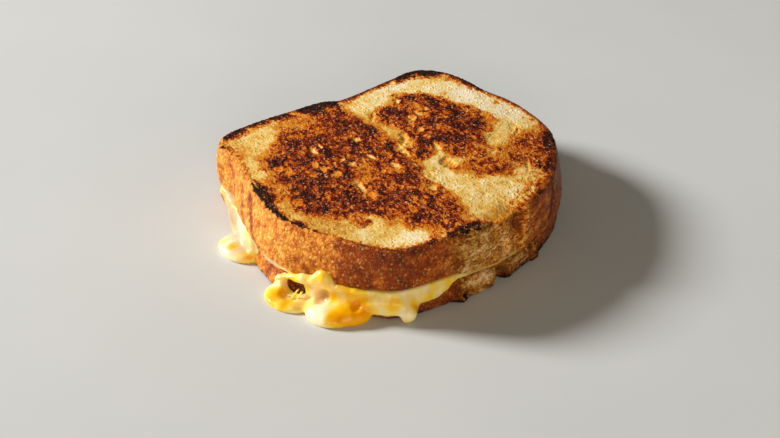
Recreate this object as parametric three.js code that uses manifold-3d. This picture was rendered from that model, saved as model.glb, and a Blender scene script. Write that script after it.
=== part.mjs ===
// A grilled cheese sandwich: two griddled slices of a country loaf, with melted cheese between them
// that has run down the near side on to the plate. Millimetres, +Z up. The origin is at the middle
// of the footprint, level with the underside. Angles are in degrees, anticlockwise from +X.

import * as THREE from 'three';
import { mergeVertices } from 'three/addons/utils/BufferGeometryUtils.js';
import Module from 'manifold-3d';

// --- Driving dimensions ---

// The cut outline of the loaf, at the top slice's griddled rim: a flat base along +Y, domed
// towards -Y, with a shallow step in the base.
const LOAF_OUTLINE = [
  [-49.0, 50.2], [-42.4, 56.2], [3.2, 56.0], [11.2, 53.2], [38.7, 55.0], [50.7, 56.0],
  [59.1, 51.2], [63.5, 42.0], [65.7, 27.0], [70.2, 10.0], [66.7, -15.0], [42.7, -41.2],
  [11.1, -53.4], [-37.3, -49.6], [-44.3, -41.5], [-57.6, -14.0], [-58.7, 2.0], [-49.8, 38.0],
];
const FOOTPRINT_MIDDLE = { x: 0.4, y: 1.0 }; // of the whole sandwich, in the outline's coordinates
const TOP_FACE = 29.0; // height of the griddled face between its browned swellings
const TOP_UNDERSIDE = 12.2; // height where the top slice meets the cheese
const BOTTOM_FACE = 8.8; // height where the bottom slice meets the cheese
const FACE_FALL = 3.0; // how much the griddled face drops towards the thin end
const SEAM_FALL = 2.0; // how much the cheese seam's upper side drops there
const SEAM_LOWER_FALL = 0.6; // and its lower side
const FALL_TOWARDS = -38; // direction of the thin end
const FALL_STARTS = 5; // distance from the middle where the drop starts
const FALL_LENGTH = 55; // and how far on it is complete

// How far the crust stands out beyond the outline, as [angle, distance] pairs.
const TOP_FLARE = [[0, 1.0], [45, 0.6], [90, 0.6], [130, 0.2], [140, 0.6], [154, 3.2], [190, 6.2],
  [212, 5.0], [232, 1.2], [270, 0], [300, 0], [322, 2.6], [360, 1.0]];
const BOTTOM_FLARE = [[0, 0.6], [90, 0.2], [126, -1.8], [138, -3.2], [148, -0.6], [165, 1.8],
  [186, 3.5], [212, 2.5], [244, 0.5], [270, 0.5], [300, 0.2], [322, 1.4], [360, 0.6]];
const FLARE_LOST = 0.9; // share of it that is gone again at a slice's upper edge
const BELLY = 0.8; // the crust's roundness at half height
const UNEVENNESS = 0.4; // how far the crust wanders in and out
const CRUST_WAVES = [[5, 1, 1, 0], [11, 0.7, 2.3, 2], [19, 0.6, -1.7, 5]]; // waves, size, phase, lean

// Dents and lumps in the crust. height and tall are shares of the slice's thickness, wide is a
// half width along the crust, taken at the mean distance of the crust, and deep is negative for a
// lump.
const MEAN_RADIUS = 60;
const TOP_DENTS = [
  { angle: 285.5, height: 0.66, wide: 3.4, tall: 0.34, deep: 2.6 }, // torn pocket
  { angle: 279.5, height: 0.3, wide: 3.0, tall: 0.16, deep: 0.9 }, // pore in the torn crumb
  { angle: 207.5, height: 0.0, wide: 5.0, tall: 0.22, deep: 1.6 }, // hollow filled by cheese
];
const BOTTOM_DENTS = [
  { angle: 276.8, height: 0.5, wide: 2.6, tall: 1.2, deep: 4.6 }, // cleft in the crust
  { angle: 269.0, height: 0.6, wide: 7.0, tall: 0.6, deep: -0.9 }, // lobe beside it
  { angle: 258.0, height: 0.05, wide: 2.6, tall: 0.2, deep: -2.6 }, // burnt spur at the foot
  { angle: 299.5, height: 0.1, wide: 3.0, tall: 0.25, deep: -1.6 }, // burnt crag at the foot
];

// Pits and swellings of the griddled face: centre, radius and height, negative for a pit.
const FACE_RELIEF = [
  { x: -25, y: 17, radius: 26, rise: 0.5 }, // the large browned patch
  { x: 32, y: 8, radius: 20, rise: 0.5 }, // the browned patch towards the far side
  { x: -14, y: -28, radius: 17, rise: 0.4 }, // the browned patch towards the near side
  { x: 12, y: -20, radius: 13, rise: -0.5 }, // the pale hollow between them
  { x: -36, y: -42, radius: 9, rise: -0.4 }, // the pale near rim
];

const GAP = 0.3; // clearance between neighbours
const LAYER_GAP = 0.4; // clearance of the cheese layer's flat faces
const SEGMENTS = 120; // steps round a slice
const TURN = 2 * Math.PI;

// The cheese that has run down over the bottom slice. Each run spans from one angle to another;
// edge gives the height of its lower edge and reach how far it stands out from the crust, at its
// top, at half height and at its foot.
const CHEESE_INSET = 1.2; // how far the layer stays inside the loaf's outline
const LAYER_PHASE = 4.1; // of the layer's uneven edge
const LEFT_RUN = {
  from: 132, to: 171.8,
  edge: [[132, 10.2], [137, 8.4], [142, 6.0], [146, 3.0], [149, 0.4], [150, 0], [171.8, 0]],
  reach: [[132, 1.2, 0.8, 0.8], [138, 4.4, 4.4, 3.6], [142, 4.6, 5.0, 4.0], [147, 3.6, 4.4, 4.0],
    [153, 2.8, 3.4, 4.2], [162, 2.0, 3.0, 4.2], [168, 1.6, 2.4, 3.0], [171.8, 0.8, 1.0, 1.0]],
};
const FRONT_RUN = {
  from: 185, to: 258,
  edge: [[185, 0], [222, 0], [224, 3.2], [233.5, 3.0], [235, 0.8], [238.8, 0.8], [240.5, 5.2],
    [247, 5.4], [251, 7.0], [254, 9.6], [258, 11.0]],
  reach: [[185, 1.0, 0.8, 0.8], [190, 2.2, 2.2, 3.6], [205, 2.2, 3.0, 4.6], [215, 1.8, 4.0, 5.4],
    [223, 1.0, 3.4, 3.6], [230, 0.7, 2.6, 2.8], [237, 0.5, 3.0, 3.6], [241, 0.5, 1.9, 1.6],
    [250, 0.3, 1.2, 1.0], [258, 0.2, 0.4, 0.4]],
};
const RUN_TOP = 11.6; // height where a run joins the layer
const RUN_STEP = 1.6; // angle between its steps
const RUN_ROWS = 6; // steps down a run
const RUN_ROOT = 3.0; // how far into the bread a run starts, before it is cut clear
const LIP_ROUNDING = 0.35; // share of the reach that a hanging lower edge draws back

// Puddles and drips: centre, half sizes and turn about Z, all resting on or above the plate.
const POOLS = [
  { at: [-59.7, 19.6, 1.2], half: [7.6, 9.8, 3.4], turn: 8 }, // the left puddle
  { at: [-62.6, -17.4, 0.7], half: [8.6, 10.4, 3.2], turn: 12 }, // the yellow puddle
  { at: [-56.4, -34.4, 1.4], half: [8.6, 9.6, 4.6], turn: 35 }, // the pale puddle
  { at: [-51.0, -38.6, 2.2], half: [7.4, 8.6, 4.8], turn: 50 }, // the orange puddle
  { at: [-35.2, -52.4, 3.6], half: [3.3, 3.2, 3.5], turn: 0 }, // the drip's end
  { at: [-56.8, -29.2, 13.2], half: [4.2, 5.2, 3.8], turn: 28 }, // the bulge over the crust's edge
];

// Openings in the front run: centre, half sizes and turn about Z.
const WINDOWS = [
  { at: [-61.8, -18.6, 4.9], half: [6.8, 4.2, 3.9], turn: 16 }, // the hole down to the bottom slice
  { at: [-57.9, -31.0, 7.4], half: [2.4, 2.8, 2.7], turn: 28 }, // the shallow window
  { at: [-51.6, -43.0, 6.9], half: [2.4, 2.0, 2.2], turn: 42 }, // the small pit
];

// --- Colours ---

const toastedBread = { color: 0xc98a45, roughness: 0.8, metalness: 0 };
const meltedCheese = { color: 0xf6cf62, roughness: 0.3, metalness: 0 };

// --- The loaf's outline and its heights ---

const radians = (degrees) => (degrees * Math.PI) / 180;
const smooth = (share) => share * share * (3 - 2 * share);
const limit = (value, low, high) => Math.min(Math.max(value, low), high);
const mix = (a, b, share) => a + (b - a) * share;

const outlineCurve = new THREE.CatmullRomCurve3(
  LOAF_OUTLINE.map(([x, y]) => new THREE.Vector3(x, y, 0)), true, 'centripetal');
const outlineSamples = outlineCurve.getPoints(1080)
  .map((p) => ({ angle: (Math.atan2(p.y, p.x) + TURN) % TURN, radius: Math.hypot(p.x, p.y) }))
  .sort((a, b) => a.angle - b.angle);

// Distance of the loaf's outline from the middle, in the direction of an angle in radians.
function outlineRadius(angle) {
  const wanted = ((angle % TURN) + TURN) % TURN;
  let next = outlineSamples.findIndex((sample) => sample.angle > wanted);
  if (next < 1) next = outlineSamples.length - 1;
  const a = outlineSamples[next - 1];
  const b = outlineSamples[next];
  return mix(a.radius, b.radius, limit((wanted - a.angle) / (b.angle - a.angle + 1e-9), 0, 1));
}

// Smooth value between [angle, value, value, ...] stops: the value in a column, at an angle in
// degrees within the stops' range.
function atStops(stops, degrees, column = 1) {
  const next = stops.findIndex(([angle]) => angle >= degrees);
  if (next === 0) return stops[0][column];
  if (next < 0) return stops[stops.length - 1][column];
  const [a, b] = [stops[next - 1], stops[next]];
  return mix(a[column], b[column], smooth((degrees - a[0]) / (b[0] - a[0])));
}

// 0 over most of the sandwich, growing to 1 at its thin end.
function thinness(x, y) {
  const along = x * Math.cos(radians(FALL_TOWARDS)) + y * Math.sin(radians(FALL_TOWARDS));
  return limit((along - FALL_STARTS) / FALL_LENGTH, 0, 1.1) ** 2;
}

function faceRelief(x, y) {
  return FACE_RELIEF.reduce((height, spot) => {
    const away = Math.hypot(x - spot.x, y - spot.y) / spot.radius;
    return height + spot.rise * Math.exp(-1.6 * away ** 2);
  }, 0);
}

const topFaceHeight = (x, y) => TOP_FACE - FACE_FALL * thinness(x, y) + faceRelief(x, y);
const topUndersideHeight = (x, y) => TOP_UNDERSIDE - SEAM_FALL * thinness(x, y);
const bottomFaceHeight = (x, y) => BOTTOM_FACE - SEAM_LOWER_FALL * thinness(x, y);
const plateHeight = () => 0;

// The crust's slow wandering, different for each slice through its phase.
function wander(angle, height, phase) {
  const total = CRUST_WAVES.reduce((sum, [, size]) => sum + size, 0);
  const wave = CRUST_WAVES.reduce((sum, [count, size, shift, lean]) => (
    sum + size * Math.sin(count * angle + shift * phase + lean * height)), 0);
  return (UNEVENNESS * wave) / total;
}

function dentDepth(dents, degrees, height) {
  return dents.reduce((depth, dent) => {
    const turn = ((degrees - dent.angle + 540) % 360) - 180;
    const across = (radians(turn) * MEAN_RADIUS) / dent.wide;
    const up = (height - dent.height) / dent.tall;
    return depth + dent.deep * Math.exp(-(across ** 2) - up ** 2);
  }, 0);
}

// --- A slice of bread ---

// Rings that a slice's skin is stretched over, from the middle of its underside to the middle of
// its face. On a face, share is the part of the way out to the crust. On the crust, height is the
// part of the way up and inset rounds the two edges.
const UNDERSIDE_RINGS = [0.5, 0.85].map((share) => ({ share, height: 0, inset: 0 }));
const CRUST_RINGS = [[0, 1.5], [0.05, 0.5], [0.2, 0], [0.4, 0], [0.6, 0], [0.8, 0], [0.95, 0.4],
  [1, 1.4]].map(([height, inset]) => ({ share: 1, height, inset }));
const FACE_RINGS = [0.85, 0.6, 0.3].map((share) => ({ share, height: 1, inset: 0 }));

const SLICE_RINGS = [...UNDERSIDE_RINGS, ...CRUST_RINGS, ...FACE_RINGS];
const EDGE_INSET = 1.5; // how far in the flat faces start

// How far a slice's crust stands out beyond the loaf's outline.
function crustStandOut({ flare, dents, phase }, angle, height) {
  const degrees = THREE.MathUtils.radToDeg(angle);
  return atStops(flare, degrees) * (1 - FLARE_LOST * smooth(height))
    + BELLY * Math.sin(Math.PI * height)
    + wander(angle, height, phase) - dentDepth(dents, degrees, height);
}

// The closed skin of a slice. grow makes it larger all round, for cutting its neighbours clear.
function sliceGeometry(slice, grow = 0) {
  const heightAt = (x, y, height) => mix(slice.lower(x, y) - grow, slice.upper(x, y) + grow, height);
  const edgeAt = (angle, { share, height, inset }) => outlineRadius(angle) + grow
    + crustStandOut(slice, angle, height) - (share < 1 ? EDGE_INSET : inset);
  return ringedGeometry(SLICE_RINGS, edgeAt, heightAt);
}

// A closed skin stretched over rings, from the middle of its underside to the middle of its face.
// edgeAt gives the distance of a ring's full reach at an angle, and heightAt its height at x, y.
function ringedGeometry(rings, edgeAt, heightAt) {
  const positions = [0, 0, heightAt(0, 0, 0)];
  for (const ring of rings) {
    for (let step = 0; step < SEGMENTS; step += 1) {
      const angle = (TURN * step) / SEGMENTS;
      const reach = ring.share * edgeAt(angle, ring);
      const [x, y] = [reach * Math.cos(angle), reach * Math.sin(angle)];
      positions.push(x, y, heightAt(x, y, ring.height));
    }
  }
  positions.push(0, 0, heightAt(0, 0, 1));
  const last = positions.length / 3 - 1;
  const indices = [];
  const at = (ring, step) => 1 + ring * SEGMENTS + (step % SEGMENTS);
  for (let step = 0; step < SEGMENTS; step += 1) {
    indices.push(0, at(0, step + 1), at(0, step));
    for (let ring = 0; ring < rings.length - 1; ring += 1) {
      const [a, b] = [at(ring, step), at(ring, step + 1)];
      const [c, d] = [at(ring + 1, step + 1), at(ring + 1, step)];
      indices.push(a, b, c, a, c, d);
    }
    indices.push(at(rings.length - 1, step), at(rings.length - 1, step + 1), last);
  }
  return indexedGeometry(positions, indices);
}

const topSlice = {
  lower: topUndersideHeight, upper: topFaceHeight, flare: TOP_FLARE, dents: TOP_DENTS, phase: 0.6,
};
const bottomSlice = {
  lower: plateHeight, upper: bottomFaceHeight, flare: BOTTOM_FLARE, dents: BOTTOM_DENTS, phase: 2.9,
};

function indexedGeometry(positions, indices) {
  const geometry = new THREE.BufferGeometry();
  geometry.setAttribute('position', new THREE.Float32BufferAttribute(positions, 3));
  geometry.setIndex(indices);
  return geometry;
}

// --- The cheese ---

// A layer between the slices, a little inside the loaf's outline, clear of both by the gap.
function cheeseLayer() {
  const rings = [[0.5, 0], [1, 0], [1, 1], [0.5, 1]].map(([share, height]) => ({ share, height }));
  const edgeAt = (angle) => outlineRadius(angle) - CHEESE_INSET + wander(angle, 0, LAYER_PHASE);
  const heightAt = (x, y, height) => mix(
    bottomFaceHeight(x, y) + LAYER_GAP, topUndersideHeight(x, y) - LAYER_GAP, height);
  return ringedGeometry(rings, edgeAt, heightAt);
}

// A curtain of cheese down the bottom slice's crust. Its inner side starts inside the bread and is
// cut clear of it afterwards.
function cheeseRun({ from, to, edge, reach }) {
  const steps = Math.round((to - from) / RUN_STEP);
  const positions = [];
  for (let step = 0; step <= steps; step += 1) {
    const degrees = mix(from, to, step / steps);
    const angle = radians(degrees);
    const crust = outlineRadius(angle) + atStops(BOTTOM_FLARE, degrees);
    const foot = atStops(edge, degrees);
    for (let row = 0; row <= RUN_ROWS; row += 1) {
      const down = row / RUN_ROWS;
      const [top, middle, bottom] = [1, 2, 3].map((column) => atStops(reach, degrees, column));
      const out = down < 0.5 ? mix(top, middle, smooth(2 * down))
        : mix(middle, bottom, smooth(2 * down - 1));
      const lipInset = row === RUN_ROWS && foot > 0 ? LIP_ROUNDING * out : 0;
      for (const radius of [crust + out - lipInset, crust - RUN_ROOT]) {
        positions.push(radius * Math.cos(angle), radius * Math.sin(angle), mix(RUN_TOP, foot, down));
      }
    }
  }
  const at = (step, row, side) => 2 * (step * (RUN_ROWS + 1) + row) + side;
  const indices = [];
  const quad = (a, b, c, d) => indices.push(a, b, c, a, c, d);
  for (let step = 0; step < steps; step += 1) {
    for (let row = 0; row < RUN_ROWS; row += 1) {
      quad(at(step, row, 0), at(step, row + 1, 0), at(step + 1, row + 1, 0), at(step + 1, row, 0));
      quad(at(step, row, 1), at(step + 1, row, 1), at(step + 1, row + 1, 1), at(step, row + 1, 1));
    }
    quad(at(step, 0, 0), at(step + 1, 0, 0), at(step + 1, 0, 1), at(step, 0, 1));
    quad(at(step, RUN_ROWS, 0), at(step, RUN_ROWS, 1), at(step + 1, RUN_ROWS, 1),
      at(step + 1, RUN_ROWS, 0));
  }
  for (let row = 0; row < RUN_ROWS; row += 1) {
    quad(at(0, row, 0), at(0, row, 1), at(0, row + 1, 1), at(0, row + 1, 0));
    quad(at(steps, row, 0), at(steps, row + 1, 0), at(steps, row + 1, 1), at(steps, row, 1));
  }
  return indexedGeometry(positions, indices);
}

// A rounded blob, standing for a puddle or a drip, and also for the melt's openings.
function blob({ at, half, turn }) {
  return new THREE.SphereGeometry(1, 20, 12)
    .rotateX(Math.PI / 2).scale(...half).rotateZ(radians(turn)).translate(...at);
}

// --- Joining and cutting ---

const manifold = await Module();
manifold.setup();

function toSolid(geometry) {
  const bare = geometry.clone();
  bare.deleteAttribute('normal');
  bare.deleteAttribute('uv');
  const merged = mergeVertices(bare, 1e-4);
  return new manifold.Manifold(new manifold.Mesh({
    numProp: 3,
    vertProperties: new Float32Array(merged.attributes.position.array),
    triVerts: new Uint32Array(merged.index.array),
  }));
}

function toGeometry(solid) {
  const { vertProperties, triVerts } = solid.getMesh();
  return indexedGeometry([...vertProperties], [...triVerts]);
}

function cheeseGeometry() {
  const flowing = [cheeseRun(LEFT_RUN), cheeseRun(FRONT_RUN), ...POOLS.map(blob)];
  const underPlate = new THREE.BoxGeometry(400, 400, 40).translate(0, 0, -20);
  const away = [sliceGeometry(bottomSlice, GAP), sliceGeometry(topSlice, GAP), underPlate,
    ...WINDOWS.map(blob)];
  const joined = flowing.map(toSolid).reduce((whole, piece) => whole.add(piece));
  const cut = away.map(toSolid).reduce((whole, piece) => whole.subtract(piece), joined);
  return toGeometry(cut.add(toSolid(cheeseLayer())));
}

// --- The sandwich ---

function pieceOf(name, geometry, finish) {
  const mesh = new THREE.Mesh(geometry, new THREE.MeshStandardMaterial(finish));
  mesh.name = name;
  return mesh;
}

const sandwich = new THREE.Group();
sandwich.position.set(-FOOTPRINT_MIDDLE.x, -FOOTPRINT_MIDDLE.y, 0);
sandwich.add(
  pieceOf('bottom_slice', sliceGeometry(bottomSlice), toastedBread),
  pieceOf('cheese', cheeseGeometry(), meltedCheese),
  pieceOf('top_slice', sliceGeometry(topSlice), toastedBread),
);

export default sandwich;
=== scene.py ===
"""A grilled cheese sandwich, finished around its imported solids: two griddled slices of a country loaf
with melted cheese between them that has run down the near side. Lengths are in millimetres and in
the loaf's own coordinates until a mesh is made. Angles are in degrees, anticlockwise from +X."""

import itertools
import math

import bpy
import numpy as np
from mathutils import Matrix, Vector


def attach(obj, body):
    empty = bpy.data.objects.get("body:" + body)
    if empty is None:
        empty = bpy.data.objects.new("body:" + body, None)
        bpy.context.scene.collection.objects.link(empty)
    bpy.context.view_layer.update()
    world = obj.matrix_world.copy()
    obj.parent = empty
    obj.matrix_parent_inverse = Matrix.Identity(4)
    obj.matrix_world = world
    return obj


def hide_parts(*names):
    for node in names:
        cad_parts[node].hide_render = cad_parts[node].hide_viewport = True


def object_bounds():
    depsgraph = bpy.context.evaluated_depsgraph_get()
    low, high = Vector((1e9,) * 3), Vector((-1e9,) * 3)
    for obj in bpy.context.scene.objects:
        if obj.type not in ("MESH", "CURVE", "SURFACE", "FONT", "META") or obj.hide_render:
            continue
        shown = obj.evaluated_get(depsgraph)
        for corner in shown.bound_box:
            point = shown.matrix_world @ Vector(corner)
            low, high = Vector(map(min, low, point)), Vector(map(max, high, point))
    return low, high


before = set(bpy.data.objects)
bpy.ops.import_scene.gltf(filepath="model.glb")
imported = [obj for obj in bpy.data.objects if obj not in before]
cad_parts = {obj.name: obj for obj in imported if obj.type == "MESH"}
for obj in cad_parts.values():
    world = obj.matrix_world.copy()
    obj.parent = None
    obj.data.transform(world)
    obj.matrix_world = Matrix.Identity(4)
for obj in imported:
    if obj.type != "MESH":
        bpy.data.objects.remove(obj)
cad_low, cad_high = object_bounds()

MM = 0.001

# --- Sizes that the solids have too ---

# The cut outline of the loaf at the top slice's griddled rim.
LOAF_OUTLINE = [
    (-49, 50.2), (-42.4, 56.2), (3.2, 56), (11.2, 53.2), (38.7, 55), (50.7, 56), (59.1, 51.2),
    (63.5, 42), (65.7, 27), (70.2, 10), (66.7, -15), (42.7, -41.2), (11.1, -53.4), (-37.3, -49.6),
    (-44.3, -41.5), (-57.6, -14), (-58.7, 2), (-49.8, 38),
]
FOOTPRINT_MIDDLE = (0.4, 1.0, 0.0)
TOP_FACE, TOP_UNDERSIDE, BOTTOM_FACE = 29.0, 12.2, 8.8
FACE_FALL, SEAM_FALL, SEAM_LOWER_FALL = 3.0, 2.0, 0.6
FALL_TOWARDS, FALL_STARTS, FALL_LENGTH = -38, 5, 55

# How far the crust stands out beyond the outline, as (angle, distance).
TOP_FLARE = [
    (0, 1), (45, 0.6), (90, 0.6), (130, 0.2), (140, 0.6), (154, 3.2), (190, 6.2), (212, 5), (232, 1.2),
    (270, 0), (300, 0), (322, 2.6), (360, 1),
]
BOTTOM_FLARE = [
    (0, 0.6), (90, 0.2), (126, -1.8), (138, -3.2), (148, -0.6), (165, 1.8), (186, 3.5), (212, 2.5),
    (244, 0.5), (270, 0.5), (300, 0.2), (322, 1.4), (360, 0.6),
]
FLARE_LOST, BELLY, UNEVENNESS = 0.9, 0.8, 0.4
CRUST_WAVES = [(5, 1, 1, 0), (11, 0.7, 2.3, 2), (19, 0.6, -1.7, 5)]  # waves, size, phase, lean

# Dents (and lumps, with a negative depth) in the crust: angle, height share, half width, half height
# as a share, depth. The bottom slice's cleft, its first, lies 1.4 degrees further on than the solid's.
MEAN_RADIUS = 60
TOP_DENTS = [
    (285.5, 0.66, 3.4, 0.34, 2.6), (279.5, 0.3, 3, 0.16, 0.9), (207.5, 0, 5, 0.22, 1.6),
]
BOTTOM_DENTS = [
    (278.2, 0.5, 2.4, 1.2, 4.6), (269, 0.6, 7, 0.6, -0.9), (258, 0.05, 2.6, 0.2, -2.6),
    (299.5, 0.1, 3, 0.25, -1.6),
]

# Swellings and hollows of the griddled face: x, y, radius, rise.
FACE_RELIEF = [
    (-25, 17, 26, 0.5), (32, 8, 20, 0.5), (-14, -28, 17, 0.4), (12, -20, 13, -0.5), (-36, -42, 9, -0.4),
]
EDGE_INSET, EDGE_SHARE = 1.5, 0.07  # how far a slice's edges are rounded in, and down, as a share
ROLL_WIDTH, TORN_RIM = 4.2, 5  # how far in a torn rim rolls off, and how far in it is coloured
CLOSING_FROM, CLOSING_OUT = 0.55, 0.85  # shares of the way down and out at which a seam starts to close
HIDDEN_SHARES = [0.97, 0.88, 0.7, 0.4]  # shares of the way out of the rings under a slice

# --- What the griddle has done ---

# Browned patches of the top slice's face: outline, browning from 0 to 1, softness of the edge.
BROWNED = [
    ([(-41, 30), (-32, 38), (-24, 45), (-14, 46), (-3, 46), (6, 45), (8, 33), (8, 18), (8, 6), (9, -1),
      (4, -8), (3, -20), (1, -36), (-1, -43), (-5, -48), (-15, -48), (-22, -42), (-29, -31),
      (-34, -23), (-43, -19), (-49, -12), (-51, -3), (-47, 8), (-47, 20)], 0.53, 4.4),
    ([(14.4, 35), (21.4, 38), (27.4, 40), (34.4, 42.5), (37.4, 40), (42.4, 37), (45.4, 29), (48, 23),
      (51.4, 17), (53, 10), (52.4, 4), (46.4, 1), (40.4, -6), (37.4, -11), (32.4, -15), (25.4, -13),
      (21.4, -9), (19.4, -3), (12.4, 3), (13.4, 9), (17.4, 15), (14.4, 23)], 0.52, 3),
    ([(4, 6), (10, 7), (17, 4), (16, -2), (9, -4), (4, -2)], 0.55, 2),
    ([(15.4, -16), (21.4, -25), (26.4, -29), (32.4, -30), (37, -26), (46.4, -33), (55, -31), (62, -22),
      (67, -12), (58.4, -7), (50.4, -9), (42.4, -13), (36.4, -15), (28, -14)], 0.33, 3.4),
    ([(-57, 22), (-51, 17), (-50, 8), (-53, 3), (-58, 8)], 0.5, 3),
    ([(-39, -25), (-36, -23.5), (-34, -26), (-36.5, -29), (-39.5, -28.5)], 0.6, 2.4),
    ([(-32.5, -20), (-30, -21), (-31, -25), (-33, -24)], 0.45, 1.6),
    ([(-15, -50), (-8, -49), (0, -50), (3, -53), (-14, -54)], 0.6, 1.6),
]
# Golden places in them and darker ones: x, y, half width, half length, turn, change of browning.
SPOTS = [
    (-14, 1, 5.5, 8.5, 70, -0.24), (-22.1, -6, 2.2, 7, 78, -0.16), (-15, 41, 5, 9, 10, -0.22),
    (-10, 30, 4, 7, 80, -0.12), (-30, 40, 4, 5, 30, -0.2), (31, 27, 4, 6, 80, -0.2),
    (24, 22, 3, 5, 50, -0.12), (-17.5, 21, 3, 4, 60, 0.08), (7, 3, 1.6, 6, 80, -0.4),
    (-1, -3, 2, 5, 70, -0.24), (-1, -23, 3, 4.5, 60, -0.28), (20, 0, 2.2, 3.6, 60, -0.2),
    (-28, 0, 3, 3.5, 60, -0.1), (-38, 19, 5, 3, 30, -0.14), (44, -6, 7, 3.4, 40, -0.34),
    (26, 36, 3, 2, 30, -0.1), (33, -11.5, 5, 4, 20, -0.16), (-15, -22, 6, 6, 60, -0.08),
    (48, -20, 9, 6, 20, -0.05), (-24, -34, 2.4, 5, 50, -0.1), (-8, -30, 2, 4, 70, -0.08),
    (38, 20, 3, 4, 60, -0.1), (-14, 26, 3, 6, 60, 0.08), (36, -21, 6, 2.6, 20, -0.14),
    (60, -10, 3, 6, 100, -0.1), (-23, -14, 2, 4, 80, -0.16), (-5, -45, 3, 2, 20, -0.15),
    (-45, 22, 4, 3, 40, -0.16), (50, 7, 3, 4, 90, -0.14), (-32, -28, 4, 3, 30, -0.25),
    (-48, -2, 2.6, 3, 90, -0.12), (5, -16, 2, 5, 95, -0.3), (-35, 27, 3.6, 6.5, 20, 0.18),
    (-25, 34, 4, 4.5, 40, 0.1), (4, 34, 4.5, 8, 90, 0.16), (4, 17, 4, 9, 90, 0.12),
    (-12, 22, 5, 8, 60, 0.06), (-37, 1, 6, 10, 30, 0.16), (-45, -10, 3, 5, 120, 0.14),
    (-33, -18, 4, 7, 150, 0.16), (42, 33, 3.2, 4.5, 90, 0.16), (-40, 8, 1.4, 2, 60, 0.35),
    (41, 13, 5, 13, 100, 0.12), (29, 6, 6, 7, 40, 0.08), (30, -2, 5, 5, 170, 0.04),
    (21, 32, 4, 4.5, 20, 0.12), (54, -18, 2, 5, 40, 0.1), (29.4, -26, 2.6, 4, 20, 0.1),
    (-1, 43, 5, 7, 90, 0.1), (47, -30, 3, 5, 50, 0.16), (-55, 28, 3, 15, 74, 0.16),
    (-10, 50, 3.5, 15, 0, 0.17), (10, 22, 2.6, 13, 85, 0.09), (63, 6, 2.4, 14, 100, 0.09),
    (28, -22, 6, 12, -10, 0.09), (54, -8, 4, 9, 40, 0.08), (49, 32, 2.6, 6, 60, 0.1),
    (38, -44, 3, 13, 30, 0.17), (-44, 40, 3, 6, 60, 0.08), (20, -20, 2, 4, 40, 0.1),
    (51, -14, 2, 3, 40, 0.1),
]
# How far the rim's browning reaches inwards, as (angle, mm), and how strong it is there.
RIM_REACH = [
    (0, 1.8), (12, 1.8), (30, 4.2), (44, 4), (60, 2.4), (100, 3.4), (130, 3.6), (150, 2.6), (160, 1.8),
    (205, 1.4), (245, 2.2), (262, 2.4), (275, 2.6), (296, 5), (320, 6), (340, 4), (350, 2.6), (360, 1.8),
]
RIM_BROWNING = [
    (0, 0.42), (30, 0.44), (60, 0.42), (120, 0.48), (150, 0.4), (200, 0.34), (245, 0.44), (262, 0.5),
    (270, 0.3), (278, 0.08), (287, 0.08), (293, 0.46), (315, 0.54), (340, 0.5), (360, 0.42),
]
# Paler and darker crumb: x, y, radius, change. The last, at (8, -50), is painted warm bounce light
# on the rolled-off torn rim.
PALE = [
    (-36, -43, 9, 0.2), (-26, -49, 8, 0.34), (-14, -52, 5, 0.3), (60, 12, 12, 0.46), (57, 30, 9, 0.5),
    (20, -38, 16, 0.12), (10, -18, 8, 0.2), (34, 48, 14, 0.32), (12, 40, 8, 0.1), (-50, -20, 11, -0.22),
    (-56, 2, 8, -0.2), (66, 0, 7, 0.24), (36, -42, 8, 0.05), (15, 26, 5, 0.1), (-33, -35, 6, -0.16),
    (8, -50, 7, -0.2),
]

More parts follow.
